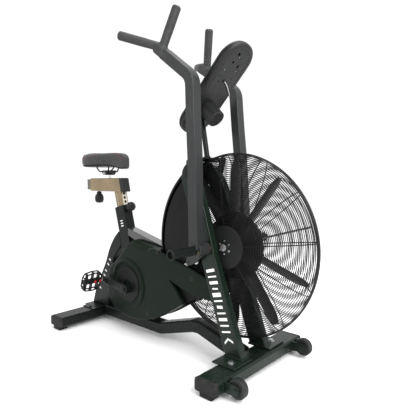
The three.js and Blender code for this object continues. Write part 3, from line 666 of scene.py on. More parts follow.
def end_cap(x0, x1):
    def build():
        b = B()
        yo, yi = -275, -261.3
        sec = rrect(x1 - x0, 46, 9, 5)
        cx, cz = (x0 + x1) / 2, 55
        rings = []
        for d, y in ((7, -274.9), (3.2, -274.0), (1.0, -272.2), (0, -269.5), (0, yi)):
            rings.append([(cx + u * (1 - 2 * d / 94), y, cz + w * (1 - 2 * d / 46)) for u, w in sec])
        b.put(*bridge(rings))
        # shallow moulded lip and the foot under it
        b.put(*bridge([[(cx + u * 0.62, y, cz + w * 0.5) for u, w in sec] for y in (-275.0, -273)]))
        block(b, x0 + 21, x1 - 21, -271, -227.6, 16.2, 31.6, 2.5)
        for i in range(5):
            y = -266 + i * 8
            block(b, x0 + 20.4, x1 - 20.4, y, y + 3.5, 16.0, 20, 0.7, 2)
        return b
    return build


both("rear_foot", end_cap(-907, -813), "rubber", "frame", "foot_rubber")
both("front_foot", end_cap(42, 136), "rubber", "frame", "foot_rubber")


def wheel():
    b = B()
    prof = [(6.6, -12.6), (11, -12.9), (12, -12.2), (13, -10.4), (23, -10.4), (24.5, -12.4), (29, -12.9), (32.2, -11.6), (33.8, -8.6), (34, -4), (34, 4), (33.8, 8.6), (32.2, 11.6),
            (29, 12.9), (24.5, 12.4), (23, 10.4), (13, 10.4), (12, 12.2), (11, 12.9), (6.6, 12.6)]
    lathe(b, prof, (181, -214, 60), (0, 1, 0), 72)
    for s in (-1, 1):
        for i in range(6):
            a = i * 60 * D
            rib = [(181 + r * math.cos(a) - w * math.sin(a), 60 + r * math.sin(a) + w * math.cos(a)) for r, w in ((12, -1.2), (25, -1.2), (25, 1.2), (12, 1.2))]
            y = -214 + s * 11.2
            rslab(b, rib, y - 1.0, y + 1.0, 0.3, 2)
    return b


both("transport_wheel", wheel, "tyre", ("transport_wheel_r", "transport_wheel_l"), "wheel_rubber")

b = B()
rail = fillet([(-812.8, 61), (-397, 63), (-203, 119.5), (-170, 122), (-33, 82), (41.6, 61)], [0, 90, 60, 60, 60, 0], 8)
sweep(b, [(x, 0, z) for x, z in rail], rrect(50, 60, 7, 4))
make("bottom_rail_piece", b, "frame", "frame", "frame", ("bottom_rail",))

rearPts = [(-926, 83.3), (-905, 140), (-868, 200), (-846, 242), (-803, 315), (-772, 380), (-730, 440), (-696, 472), (-683.5, 466),
           (-669.5, 408.5), (-690, 388), (-734, 337), (-747, 268), (-760, 190), (-771, 150), (-784, 120), (-797, 90), (-797, 87), (-813.4, 87), (-813.4, 83.3)]
b = B()
rslab(b, smooth_outline(rearPts, 38), -25, 25, 6)
make("rear_leg_piece", b, "frame", "frame", "frame", ("rear_leg",))
keep("seat_tube", "frame", 0.0035)
keep("top_tube", "tube", 0.004)
keep("bottom_bracket", "frame", 0.0015)
keep("console_mast", "frame", 0.0018)
b = B()
# round post over the bracket, with a collar where it is welded
sweep(b, [(-133.4, 0, 812), (-149, 0, 902), (-158.4, 0, 960)], circ(9.2, 32), side=(0, 1, 0), cap_r=1.5, fixed=False)
lathe(b, rprof(13, 0, 7, 2.2), (-133.0, 0, 809.5), (-0.17, 0, 0.985), 40)
make("console_post", b, "frame", "frame", "frame")

legPts = [(104, 84), (79, 155), (55, 223), (31, 291), (7, 360), (-14, 420), (-38, 503), (-59, 575), (-81, 649), (-105, 712), (-131, 752), (-150, 776), (-166, 782), (-180, 766),
          (-187, 733), (-172, 685), (-155, 627), (-140, 570), (-120, 503), (-86, 418), (-51, 313), (-26, 242), (-3, 172), (27, 84)]


def front_leg():
    b = B()
    rslab(b, smooth_outline(legPts, 60, 9), -93, -58, 5.5, 4)
    block(b, 22, 122, -160, -57.8, 78.3, 85, 1.8)
    # weld fillet at the foot, and the flange bolt
    rslab(b, [(23, 84.5), (25, 87.5), (29, 90), (101, 90), (106, 87.5), (108, 84.5)], -96, -55, 2.2, 3)
    return b


both("front_leg", front_leg, "leg", "frame", "frame")


def leg_bolt():
    b = B()
    hexhead(b, (84, -128, 85), (0, 0, 1), 9.2, 7, 13)
    return b


both("leg_bolt", leg_bolt, "bolt", "frame", "steel", ())

# printed marks on the near and far leg: plain slanted bars and a chevron
def leg_print():
    b = B()

    def at(t):
        # centre line of the leg's outer face between its foot and the pivot
        for (x0, z0, w0), (x1, z1, w1) in zip(LINE, LINE[1:]):
            if z1 <= t <= z0:
                k = (t - z1) / (z0 - z1)
                return x1 + (x0 - x1) * k, math.atan2(z0 - z1, x0 - x1)
        return LINE[-1][0], math.pi / 2
    LINE = [(-73, 470, 60), (-32, 368, 60), (-6, 291, 62), (20, 215, 62), (49, 130, 60), (64, 88, 60)]
    z = 388
    for i in range(11):
        x, a = at(z)
        c, s = math.cos(a), math.sin(a)

        def T(u, w):
            return (x + u * c - w * s, z + u * s + w * c)
        h = (11, 6, 11, 6, 15, 6, 11, 6, 11, 6, 6)[i]
        w = (20, 20, 20, 13, 20, 20, 13, 20, 20, 20, 20)[i]
        rslab(b, [T(-h / 2 - 2, -w), T(h / 2 - 2, -w), T(h / 2 + 2, w), T(-h / 2 + 2, w)], -93.35, -92.9, 0.1, 1)
        z -= 21.5
    x, a = at(z - 10)
    c, s = math.cos(a), math.sin(a)
    rslab(b, [(x + u * c - w * s, z - 10 + u * s + w * c) for u, w in ((-10, -20), (-2, -20), (12, 0), (-2, 20), (-10, 20), (4, 0))], -93.35, -92.9, 0.1, 1)
    return b


both("leg_print", leg_print, "white", "frame", "frame", ())


def bars(b, pts, y, half, h):
    """Short plain bars across the line through pts, just outside the plane y."""
    for i, (x, z) in enumerate(pts):
        (xa, za), (xb, zb) = pts[max(0, i - 1)], pts[min(len(pts) - 1, i + 1)]
        L = math.hypot(xb - xa, zb - za)
        dx, dz = (xb - xa) / L, (zb - za) / L
        q = [(x + dx * u - dz * v, z + dz * u + dx * v) for u, v in ((-h, -half), (h, -half), (h, half), (-h, half))]
        b.put(*bridge([[(px, y + d, pz) for px, pz in q] for d in (0.2, -0.25)]))


b = B()
bars(b, [(-855, 170), (-829, 216), (-815, 241), (-801, 266), (-780, 301), (-765, 326)], -25.0, 8, 3.5)
make("rear_leg_print", b, "white", "frame", "frame")
b = B()
bars(b, [(-657, 504), (-660.2, 516), (-663.4, 528)], -25.0, 9, 2.6)
make("seat_tube_print", b, "white", "frame", "frame")

# ------------------------------------------------------------------ drum
H = 51.5


def dome_y(r):
    q = min(1.0, r / (DRUM_R - 3.4))
    return -H * (1 - q**3.6) ** (1 / 3.0)


# points along the dome from the hub to the rim, evenly spaced by length
prof = [(78 + i * (DRUM_R - 3.4 - 78) / 1200, dome_y(78 + i * (DRUM_R - 3.4 - 78) / 1200)) for i in range(1201)]
length = [0]
for a, c in zip(prof, prof[1:]):
    length.append(length[-1] + math.dist(a, c))


def along(s):
    for i in range(1, len(length)):
        if length[i] >= s:
            k = (s - length[i - 1]) / max(1e-9, length[i] - length[i - 1])
            return tuple(prof[i - 1][j] + (prof[i][j] - prof[i - 1][j]) * k for j in (0, 1))
    return prof[-1]


RADIALS = [i * 30 + 7 for i in range(12)]


def wire_face():
    b = B()
    total = length[-1]
    count = 40
    for i in range(count):
        r, y = along(total * (i + 0.5) / count)
        w = 1.4
        lathe(b, [(r + w * math.cos(t * 60 * D), y + w * math.sin(t * 60 * D)) for t in range(6)], (0, 0, FAN_Z), (0, 1, 0), 144)
    for a in RADIALS:
        c, s = math.cos(a * D), math.sin(a * D)
        pts = []
        for i in range(29):
            r, y = along(total * i / 28)
            pts.append((r * c, y + 1.9, FAN_Z + r * s))
        sweep(b, pts, circ(1.9, 8), side=(-s, 0, c), fixed=True)
    return b


both("grille", wire_face, "wire", "frame", "wire", wn=False, sharp=80)
b = B()
for R, y, w in ((DRUM_R - 3.7, 0, 3.4), (DRUM_R - 4.8, -7.5, 2.0), (DRUM_R - 4.8, 7.5, 2.0)):
    lathe(b, [(R + w * math.cos(t * 45 * D), y + w * math.sin(t * 45 * D)) for t in range(8)], (0, 0, FAN_Z), (0, 1, 0), 192)
make("cage_rim_piece", b, "wire", "frame", "wire", ("cage_rim",), wn=False, sharp=80)

# wind shield: C-shaped shell round the rear
aTop = math.atan2(791 - FAN_Z, -153)
aBot = math.atan2(207 - FAN_Z, -226) + 2 * math.pi
b = B()
ro, t2 = DRUM_R + 4.4, 2.6
outer = [(ro - 26, -54.5), (ro - 12, -54.5)] + [(ro - 10 + 10 * math.sin(i * 15 * D), -44.5 - 10 * math.cos(i * 15 * D)) for i in range(7)]
outer += [(r, -y) for r, y in outer[::-1]]
inner = [(ro - 26, -54.5 + t2), (ro - 12, -54.5 + t2)] + [(ro - 10 + 7.4 * math.sin(i * 15 * D), -44.5 - 7.4 * math.cos(i * 15 * D)) for i in range(7)]
inner += [(r, -y) for r, y in inner[::-1]]
lathe(b, outer + inner[::-1], (0, 0, FAN_Z), (0, 1, 0), 60, aTop, aBot)
shieldIn = [(-150, 791), (-170, 742), (-177, 680), (-178, 600), (-178, 430), (-172, 360), (-150, 300), (-123, 268)]
arc = [((ro - 14) * math.cos(aTop + (aBot - aTop) * i / 48), FAN_Z + (ro - 14) * math.sin(aTop + (aBot - aTop) * i / 48)) for i in range(49)]
face = arc + smooth_outline(shieldIn[1:], 60, 8, closed=False)[::-1]
for y0 in (-54.5, 54.5 - t2):
    rslab(b, face, y0, y0 + t2, 0.8, 2)
# rolled inner edge
edge = smooth_outline([(-158, 775)] + shieldIn[1:], 60, 8, closed=False)
for y in (-53.2, 53.2):
    sweep(b, [(x, y, z) for x, z in edge], circ(2.2, 10), cap_r=1.5)
make("windshield_piece", b, "shield", "frame", "shield", ("windshield",), sharp=50)


def hub_plate():
    b = B()
    lathe(b, [(10.6, -51.8), (79, -51.8), (80, -53), (80, -54.6), (78.6, -56.2), (75, -57.0), (60, -57.3), (30, -57.4), (17, -57.6), (16, -58.4), (12, -58.4), (10.6, -58.0)], (0, 0, FAN_Z), (0, 1, 0), 96)
    return b


both("hub_plate", hub_plate, "hub", "frame", "hub")


def hub_bolts():
    b = B()
    for a in (30, 90, 150, 210, 270, 330):
        sockethead(b, (24 * math.cos(a * D), -57.8, FAN_Z + 24 * math.sin(a * D)), (0, -1, 0), 3.6, 3.2)
    return b


both("hub_bolt", hub_bolts, "bolt", "frame", "steel", ())
keep("fan_axle", "bolt", 0.0012)

b = B()
lathe(b, [(10.6, -29), (36, -29), (40, -26), (40, -18), (34, -14), (34, 24), (40, 28), (40, 36), (36, 39), (10.6, 39)], (0, 0, FAN_Z), (0, 1, 0), 64)
# the pressed disc that carries the blades
lathe(b, [(36, 1.8), (52, 1.8), (56, 4.4), (108, 4.4), (114, 1.6), (125, 1.6), (128.6, 3.0), (129, 5), (128.6, 7.0), (125, 8.4), (114, 8.4), (108, 6.8), (56, 6.8), (52, 8.2), (36, 8.2)], (0, 0, FAN_Z), (0, 1, 0), 96)
for i in range(10):
    a = (16 + 36 * i) * D
    c, s = math.cos(a), math.sin(a)
    # a flat blade with cupped edges and a clipped tip; u is radial, v across, along the axle
    rows = []
    for u in [30 + j * 9.733 for j in range(31)]:
        k = max(0.0, (u - 282) / 40)
        v0 = -25 + 17 * k**1.6
        v1 = 37 - 17 * k**1.6
        row = []
        for e in range(9):
            v = v0 + (v1 - v0) * e / 8
            cup = 5.0 * ((e - 4) / 4) ** 2 * min(1, (u - 30) / 60)
            row.append((u, v, cup))
        rows.append(row)
    rings = []
    for row in rows:
        loop = [(u, v, w + 0.9) for u, v, w in row] + [(u, v, w - 0.9) for u, v, w in reversed(row)]
        rings.append([(u * c - w * s, v, FAN_Z + u * s + w * c) for u, v, w in loop])
    b.put(*bridge(rings))
    for v in (-12, 22):
        o = Vector((46 * c, v, FAN_Z + 46 * s)) + Vector((-s, 0, c)) * 1.2
        lathe(b, rprof(3.2, 0, 2.2, 0.8), o, (-s, 0, c), 16)
make("fan_rotor_piece", b, "fan", "fan", "fan", ("fan_rotor",))
keep("fan_pulley", "steel", 0.0005)
keep("drive_pulley", "steel", 0.0006)
keep("drive_belt", "belt", 0)
keep("crank_spindle", "steel", 0.0006)
for s in ("right", "left"):
    keep("crank_bearing_" + s, "steel", 0.0006)
    keep("link_rod_" + s, "steel", 0.001)
    keep("pivot_bush_" + s, "bronze", 0.0006)

# ------------------------------------------------------------------ moulded covers
bulb = [(-597, 414), (-553, 449), (-529, 449), (-372, 430)]
bulb += [(361 * math.cos((187 + 42 * i / 8) * D), FAN_Z + 361 * math.sin((187 + 42 * i / 8) * D)) for i in range(9)]
bulb += [(-395, 117), (-477, 94), (-564, 90.5), (-624, 101), (-678, 124), (-706, 160), (-716, 215), (-712, 262), (-690, 322), (-646, 370)]
DCX, DCZ = -557, 247


def inset_each(p, ds):
    """Closed outline moved inward, by its own distance at each point."""
    n, out = len(p), []
    for i in range(n):
        a, q, c = p[i - 1], p[i], p[(i + 1) % n]
        e1, e2 = (q[0] - a[0], q[1] - a[1]), (c[0] - q[0], c[1] - q[1])
        l1, l2 = math.hypot(*e1) or 1e-9, math.hypot(*e2) or 1e-9
        n1, n2 = (-e1[1] / l1, e1[0] / l1), (-e2[1] / l2, e2[0] / l2)
        k = ds[i] / max(0.4, 1 + n1[0] * n2[0] + n1[1] * n2[1])
        out.append((q[0] + (n1[0] + n2[0]) * k, q[1] + (n1[1] + n2[1]) * k))
    return out


def ease(x, a, b):
    t = max(0.0, min(1.0, (x - a) / (b - a)))
    return t * t * (3 - 2 * t)


# outline of the whole moulded face: bulb, belt case and the lobe over the drum's edge
FACE = [(-597, 414, 14), (-553, 449, 14), (-529, 449, 10), (-372, 430, 0), (-354, 427, 0), (-240, 396.4, 0), (-112, 362, 0), (-70, 349, 12), (-50, 290, 0), (-41, 262, 10), (-133, 271, 0),
        (-188, 281, 0), (-233, 294, 0), (-280, 311, 0), (-262, 297, 0), (-239, 272, 0), (-220, 248, 0), (-197, 225, 12), (-229, 208, 0), (-289, 173, 0), (-391, 118, 0), (-477, 94, 0),
        (-564, 90.5, 0), (-624, 101, 0), (-678, 124, 0), (-706, 160, 0), (-716, 215, 0), (-712, 262, 0), (-690, 322, 0), (-646, 370, 0)]
BULB = smooth_outline(fillet([q[:2] for q in FACE], [q[2] for q in FACE], 6, closed=True), 50, 9)
if area2(BULB) < 0:
    BULB = BULB[::-1]


def wall_depth(x, z):
    """How far back the side wall reaches; it is short where the link rod passes behind the belt case."""
    if z > 427 - (x + 354) * 0.2686 - 9 and -340 < x < -110:
        return -70.8
    if (x > -356 and z > 212) or x > -215:
        return -60.2
    return -31.2


def cover():
    b = B()
    # wide sloping shoulder along the top, a tight one round the rest
    wt = [ease(z, 300, 372) * ease(-375 - x, 0, 45) for x, z in BULB]
    sl = [1 - 0.5 * ease(x, -330, -250) for x, z in BULB]
    yw = [wall_depth(x, z) for x, z in BULB]
    low = (0, 0, 0.3, 1.4, 3.6, 6.6, 10.5)
    high = (0, 0.6, 9, 18, 23, 25.5, 27)
    fr = (0, 0.40, 0.58, 0.775, 0.906, 0.976, 1)

    def ring(lo, hi, f, wall, back):
        pts = inset_each(BULB, [(lo + wall) * k + (hi - lo) * w for w, k in zip(wt, sl)])
        return [(x, y0 + (-78 + back - y0) * f, z) for (x, z), y0 in zip(pts, yw)]
    rings = [ring(lo, hi, f, 0, 0) for lo, hi, f in zip(low, high, fr)]
    inner = [ring(lo, hi, f, 3.2, 2.7) for lo, hi, f in zip((9.0, 3.4, 1.2, 0, 0), (25, 20, 12, 3, 0), (1, 0.92, 0.7, 0.4, 0))]
    b.put(*bridge(rings, caps=False))
    n = len(BULB)
    b.put(rings[-1], [tuple(range(n))])
    b.put(*bridge(inner + [rings[0]], caps=False))
    b.put(inner[0], [tuple(reversed(range(n)))])
    # curved wall beside the drum
    arc = [(361.5 * math.cos((188 + 40 * i / 24) * D), FAN_Z + 361.5 * math.sin((188 + 40 * i / 24) * D)) for i in range(25)]
    arc += [(364.5 * math.cos((188 + 40 * i / 24) * D), FAN_Z + 364.5 * math.sin((188 + 40 * i / 24) * D)) for i in range(24, -1, -1)]
    rslab(b, arc, -74.5, -49, 0.8, 2)
    # raised lip along the upper edge of the belt case
    sweep(b, [(x, -76.4, z - 6) for x, z in ((-372, 427.6), (-354, 425.5), (-240, 395), (-112, 361), (-84, 352.5))], circ(2.6, 12), cap_r=1.5, fixed=False)
    return b


def cover_ring():
    b = B()
    # raised half ring round the crank disc, fading at both ends
    pts, n = [], 60
    rings = []
    for i in range(n + 1):
        a = (172 - 262 * i / n) * D
        k = min(1, i / 7, (n - i) / 16)
        k = max(0.06, k) ** 0.7
        R = 108 - 5 * (1 - k)
        cx, cz = DCX + R * math.cos(a), DCZ + R * math.sin(a)
        ring = []
        for j in range(13):
            t = math.pi * j / 12
            ring.append((cx + 11 * k * math.cos(t) * math.cos(a), -76.6 - 9.0 * k * math.sin(t) ** 0.8, cz + 11 * k * math.cos(t) * math.sin(a)))
        rings.append(ring)
    b.put(*bridge(rings))
    return b


def cover_disc():
    b = B()
    lathe(b, [(24, -80.2), (25, -81.2), (40, -81.2), (41, -80.4), (43, -80.4), (44, -81.2), (60, -81.6), (61, -80.8), (63, -80.8), (64, -81.6), (78, -81.9), (80.4, -81.2), (81.2, -79.6), (81.2, -76.4), (24, -76.4)],
          (DCX, 0, DCZ), (0, 1, 0), 96)
    return b


both("cover", cover, "cover", "frame", "cover", sharp=55)
both("cover_ring", cover_ring, "cover", "frame", "cover", ())
both("cover_disc", cover_disc, "disc", "frame", "cover", ())


def cover_screws():
    b = B()
    for x, z, y in ((-561, 424, 5.6), (-398, 420, 2.5), (-350, 418, 0), (-664, 190, 0), (-420, 140, 0), (-150, 338, 0)):
        lathe(b, [(0, -77.0 + y), (3.6, -77.0 + y), (4.2, -79.4 + y), (8.2, -79.4 + y), (9.6, -78.4 + y), (9.9, -70), (0, -70)], (x, 0, z), (0, 1, 0), 28)
    return b


both("cover_screw", cover_screws, "plastic", "frame", "cover", ())

# ------------------------------------------------------------------ cranks and pedals
def crank_m(side):
    return Matrix.Translation((CRX, 0, CRZ)) @ Matrix.Rotation(-(CRA + (180 if side else 0)) * D, 4, "Y")


for side, sn in ((0, "right"), (1, "left")):
    b = B()
    out = []
    for i in range(25):
        a = (90 + 180 * i / 24) * D
        out.append((22 * math.cos(a), 22 * math.sin(a)))
    for i in range(17):
        a = (-90 + 180 * i / 16) * D
        out.append((CRL + 13 * math.cos(a), 13 * math.sin(a)))
    rslab(b, inset(out, 0.2), -112, -98, 4, 4)
    lathe(b, rprof(20, -112.5, -84.2, 2.2), (0, 0, 0), (0, 1, 0), 48)
    rslab(b, [(30, -5.5), (120, -4), (120, 4), (30, 5.5)], -112.9, -111, 0.8, 2)
    lathe(b, rprof(11.5, -113.4, -97, 1.0), (CRL, 0, 0), (0, 1, 0), 40)
    if side:
        b.mirrored()
    b.turned(crank_m(side))
    make("crank_arm_" + sn + "_piece", b, "frame", "crankset", "frame", ("crank_arm_" + sn,))
    b = B()
    lathe(b, [(0, -116.0), (4.2, -116.0), (4.6, -118.4), (9.4, -118.4), (11, -117.2), (11.2, -112), (0, -112)], (0, 0, 0), (0, 1, 0), 40)
    if side:
        b.mirrored()
    b.turned(crank_m(side))
    make("crank_bolt_" + sn, b, "plastic", "crankset", "steel")

for side, sn in ((0, "right"), (1, "left")):
    ang = CRA + (180 if side else 0)
    pm = Matrix.Translation((CRX + CRL * math.cos(ang * D), 0, CRZ + CRL * math.sin(ang * D))) @ Matrix.Rotation(-70 * D, 4, "Y")
    body = "pedal_l" if side else "pedal_r"
    b = B()
    # cage: outer loop in the X-Y plane, with toothed edges, a core and cross ribs
    loop = fillet([(-30, -126), (30, -126), (44, -140), (46, -172), (40, -206), (22, -215.5), (-22, -215.5), (-40, -206), (-46, -172), (-44, -140)], 10, 4, closed=True)
    for zc in (-9.2, 9.2):
        sweep(b, [(x, y, zc) for x, y in loop], rrect(5.0, 6.6, 1.6, 2), side=(0, 0, 1), loop=True)
    for i in range(0, len(loop), 5):
        x, y = loop[i]
        block(b, x - 3, x + 3, y - 3 if y > -213 else y - 1.5, y + 3, -12, 12, 1.2, 2)
    lathe(b, rprof(13, -214, -124.5, 3), (0, 0, 0), (0, 1, 0), 36)
    for yy in (-140, -170, -200):
        w = 42 if yy != -200 else 38
        block(b, -w, w, yy - 2.6, yy + 2.6, -9, 9, 1.4, 2)
    for i in range(7):
        for sx in (-1, 1):
            y = -200 + i * 10.6
            for sz in (-1, 1):
                lathe(b, [(0, 0), (1.9, 0), (1.5, 2.1), (0, 2.2)] if sz > 0 else [(0, -2.2), (1.5, -2.1), (1.9, 0), (0, 0)], (sx * 43.4, y, sz * 11.0 if sz > 0 else -11.0), (0, 0, 1), 10)
    if side:
        b.mirrored()
    b.turned(pm)
    make("pedal_" + sn + "_piece", b, "plastic", body, "pedal", ("pedal_" + sn,))
    b = B()
    for sz in (-1, 1):
        for y0 in (-162, -135):
            block(b, -5.5, 5.5, y0, y0 + 9.5, sz * 12.2 - 2.4, sz * 12.2 + 2.4, 1.3, 3)
    if side:
        b.mirrored()
    b.turned(pm)
    make("pedal_reflector_" + sn, b, "red", body, "pedal")
    b = B()
    lathe(b, [(0, -98.9), (6.0, -98.9), (6.0, -112.8), (9.8, -112.9), (9.8, -116), (8, -117.5), (6.5, -118), (6.5, -126), (0, -126)], (0, 0, 0), (0, 1, 0), 36)
    if side:
        b.mirrored()
    b.turned(pm)
    make("pedal_axle_" + sn, b, "steel", body, "steel")

# ------------------------------------------------------------------ swinging arms
LEFT = rotY(PVX, PVZ, 3.4)


def peg():
    b = B()
    lathe(b, [(0, -66.2), (12.1, -66.2), (12.1, -93.4), (12.4, -93.5), (12.4, -160.4), (16.6, -161), (17, -162.5), (17, -166), (16.2, -167), (16.2, -171), (17, -172), (17, -273), (18.4, -274.6), (19.4, -276), (19.5, -280.4), (18.6, -281.9),
              (14.6, -282), (13.0, -281.4), (12.4, -279), (12.2, -272.3), (0, -272.3)], (PVX, 0, PVZ), (0, 1, 0), 64)
    return b


both("foot_peg", peg, "frame", "frame", "frame")
armC = fillet([(-57.5, 470), (-59, 620), (-60, 795), (-66, 946), (-68.5, 1085), (-247.5, 1222.5)], [0, 0, 400, 900, 62, 0], 10)


def arm():
    b = B()
    sweep(b, [(x, -148, z) for x, z in armC[:-1]] + [(-206, -148, 1190.6)], rrect(40, 43, 4.5, 5))
    # sleeve on the pivot, with a raised collar at each end
    lathe(b, [(16.8, -157.4), (24.5, -157.4), (26, -156), (26, -151), (25, -150), (25, -109), (26, -108), (26, -103), (24.5, -101.5), (16.8, -101.5)], (PVX, 0, PVZ), (0, 1, 0), 64)
    # weld bead round the foot of the tube
    sweep(b, [(-57 + u * 1.02, -148 + w * 1.02, 493 + 2 * abs(u) / 20) for u, w in rrect(40, 43, 4.5, 5)], circ(2.4, 8), side=(0, 0, 1), loop=True, fixed=False)
    # lever and pin to the drive
    a = smooth_outline([(PVX - 8, PVZ + 16), (PVX - 34, PVZ + 2), (-145, 416), (-147, 404), (-138, 396), (-126, 399), (PVX + 2, PVZ - 22)], 65, 7)
    rslab(b, a, -114, -104, 2.0, 3)
    lathe(b, rprof(6.1, -116.4, -60.6, 1.0), (-135, 0, 408), (0, 1, 0), 24)
    # welded rib on the rear face
    rslab(b, smooth_outline([(-75, 764), (-88, 750), (-95, 722), (-95, 690), (-91, 640), (-75, 562)], 60, 8), -153, -143, 2.4, 3)
    return b


both("swing_arm", arm, "arm", ("arm_r", "arm_l"), "arm", left=LEFT, sharp=50)
UP = (Vector((-216, -148, 1226)), Vector((-170, -120, 1363)))
RE = (Vector((-246, -148, 1228)), Vector((-360, -245, 1271)))


def fork():
    """Fork of the arm into its two handles, blended into one skin."""
    b = B()
    sweep(b, [(-178, -148, 1168.5), (-206, -148, 1190.4), (-226, -148, 1206), (-243, -148, 1219)], rrect(40.4, 43.2, 9, 5), cap_r=9)
    for p, s in ((UP, 0.40), (RE, 0.40)):
        d = p[1] - p[0]
        sweep(b, [tuple(p[0] - d * 0.06), tuple(p[0] + d * 0.15), tuple(p[0] + d * s)], circ(16.8, 24), side=(0, 1, 0), cap_r=3, fixed=False)
    lathe(b, [(0, -167.5), (12, -166.5), (19, -160), (21, -148), (19, -136), (12, -129.5), (0, -128.5)], (-232, 0, 1218), (0, 1, 0), 32)
    return b


for side, sn in ((0, "right"), (1, "left")):
    b = fork()
    if side:
        b.mirrored()
        b.turned(LEFT)
    o = make("handle_fork_" + sn, b, "grip", "arm_l" if side else "arm_r", "arm", wn=False, sharp=180)
    rm = o.modifiers.new("skin", "REMESH")
    rm.mode = "VOXEL"
    rm.voxel_size = 0.0022
    rm.use_smooth_shade = True
    sm = o.modifiers.new("blend", "CORRECTIVE_SMOOTH") if False else o.modifiers.new("blend", "SMOOTH")
    sm.factor = 0.5
    sm.iterations = 14


def grip(p, s0):
    def build():
        b = B()
        d = p[1] - p[0]
        L = d.length
        s1 = 1.01 - 9 / L
        pts = [tuple(p[0] + d * (s0 + (s1 - s0) * i / 24)) for i in range(25)]
        sweep(b, pts, circ(17, 40), side=(0, 1, 0), cap_r=9, fixed=False)
        return b
    return build


both("upper_grip", grip(UP, 0.30), "grip", ("arm_r", "arm_l"), "grip", left=LEFT)
both("rear_grip", grip(RE, 0.30), "grip", ("arm_r", "arm_l"), "grip", left=LEFT)

# ------------------------------------------------------------------ console
Q = math.sqrt(0.5)
CONS = Matrix(((Q, 0, -Q, -90), (0, 1, 0, 0), (Q, 0, Q, 1065), (0, 0, 0, 1)))


def pad_ring(hl, hw, r, w, k=12):
    pts = []
    for cx, cy, a0 in ((hl - r, hw - r, 0), (-hl + r, hw - r, 90), (-hl + r, -hw + r, 180), (hl - r, -hw + r, 270)):
        for i in range(k + 1):
            a = (a0 + 90 * i / k) * D
            pts.append((cx + r * math.cos(a), cy + r * math.sin(a), w))
    return pts


def shell(levels, wall=2.4, flat=None):
    """Open dish: outer rings then inner rings; levels are (half length, half width, corner, w)."""
    outer = [pad_ring(*l) for l in levels]
    inner = [pad_ring(hl - wall, hw - wall, max(r - wall, 4), w + (wall if i else 0) * (1 if levels[-1][3] < levels[0][3] else -1)) for i, (hl, hw, r, w) in enumerate(levels)]
    rings = outer + inner[::-1]
    n = len(outer[0])
    v = [p for r in rings for p in r]
    fs = []
    for a in range(len(rings) - 1):
        if a == len(outer) - 1:
            continue
        for i in range(n):
            j = (i + 1) % n
            fs.append((a * n + i, a * n + j, (a + 1) * n + j, (a + 1) * n + i))
    # rim between the last inner ring and the first outer ring
    a, c = len(rings) - 1, 0
    for i in range(n):
        j = (i + 1) % n
        fs.append((a * n + i, a * n + j, c * n + j, c * n + i))
    k = len(outer) - 1
    fs.append(tuple(k * n + i for i in range(n)))
    fs.append(tuple((k + 1) * n + i for i in reversed(range(n))))
    return v, fs


b = B()
b.put(*shell([(206, 79, 74, 1.6), (206, 79, 74, -6), (204.6, 77.6, 73, -10), (201, 74, 70, -13.2), (196, 69, 66, -14.8), (188, 61, 60, -15)]))
# raised panel line inside the edge
rim = pad_ring(187, 60, 58, -15.0)
sweep(b, rim, circ(1.0, 8), side=(0, 0, 1), loop=True, fixed=False)
b.turned(CONS)
back = make("console_back_piece", b, "console", "frame", "console", ("console_back",), sharp=50)

# holes: through hole, screw wells and the cable port
b = B()
for u, v, r in ((131, -20, 5), (153, 1, 4.2), (99, 27, 4.2), (94, -34, 4.2), (52, -6, 8)):
    lathe(b, [(0, -30), (r, -30), (r, 30 if u == 131 else -8), (0, 30 if u == 131 else -8)], (u, v, 0), (0, 0, 1), 28)
# moulded pockets and pin holes
block(b, 159, 170, -20, -9, -30, -10, 2.5)
block(b, 113, 127, 13, 21, -30, -10, 2.5)
for u, v, r in ((70, 20, 2.4), (69, -44, 2.4), (46, -31, 2.8), (30, 24, 2.0)):
    lathe(b, [(0, -30), (r, -30), (r, -10), (0, -10)], (u, v, 0), (0, 0, 1), 20)
b.turned(CONS)
me = bpy.data.meshes.new("console_cutter")
me.from_pydata([P(*p) for p in b.v], [], b.f)
cutter = bpy.data.objects.new("console_cutter", me)
bpy.context.scene.collection.objects.link(cutter)
bmx = bmesh.new(); bmx.from_mesh(me); bmesh.ops.recalc_face_normals(bmx, faces=bmx.faces); bmx.to_mesh(me); bmx.free()


def boolean_apply(o, tool, solver="EXACT"):
    md = o.modifiers.new("cut", "BOOLEAN")
    md.object = tool
    md.operation = "DIFFERENCE"
    md.solver = solver
    while o.modifiers[0].name != "cut":
        o.modifiers.move(len(o.modifiers) - 1, 0)
    dg = bpy.context.evaluated_depsgraph_get()
    keepers = [m for m in o.modifiers if m.name != "cut"]
    shown = [(m, m.show_viewport) for m in keepers]
    for m_ in keepers:
        m_.show_viewport = False
    dg.update()
    new = bpy.data.meshes.new_from_object(o.evaluated_get(dg))
    o.modifiers.remove(o.modifiers["cut"])
    for m_, s_ in shown:
        m_.show_viewport = s_
    old = o.data
    o.data = new
    new.name = old.name
    new.set_sharp_from_angle(angle=40 * D)


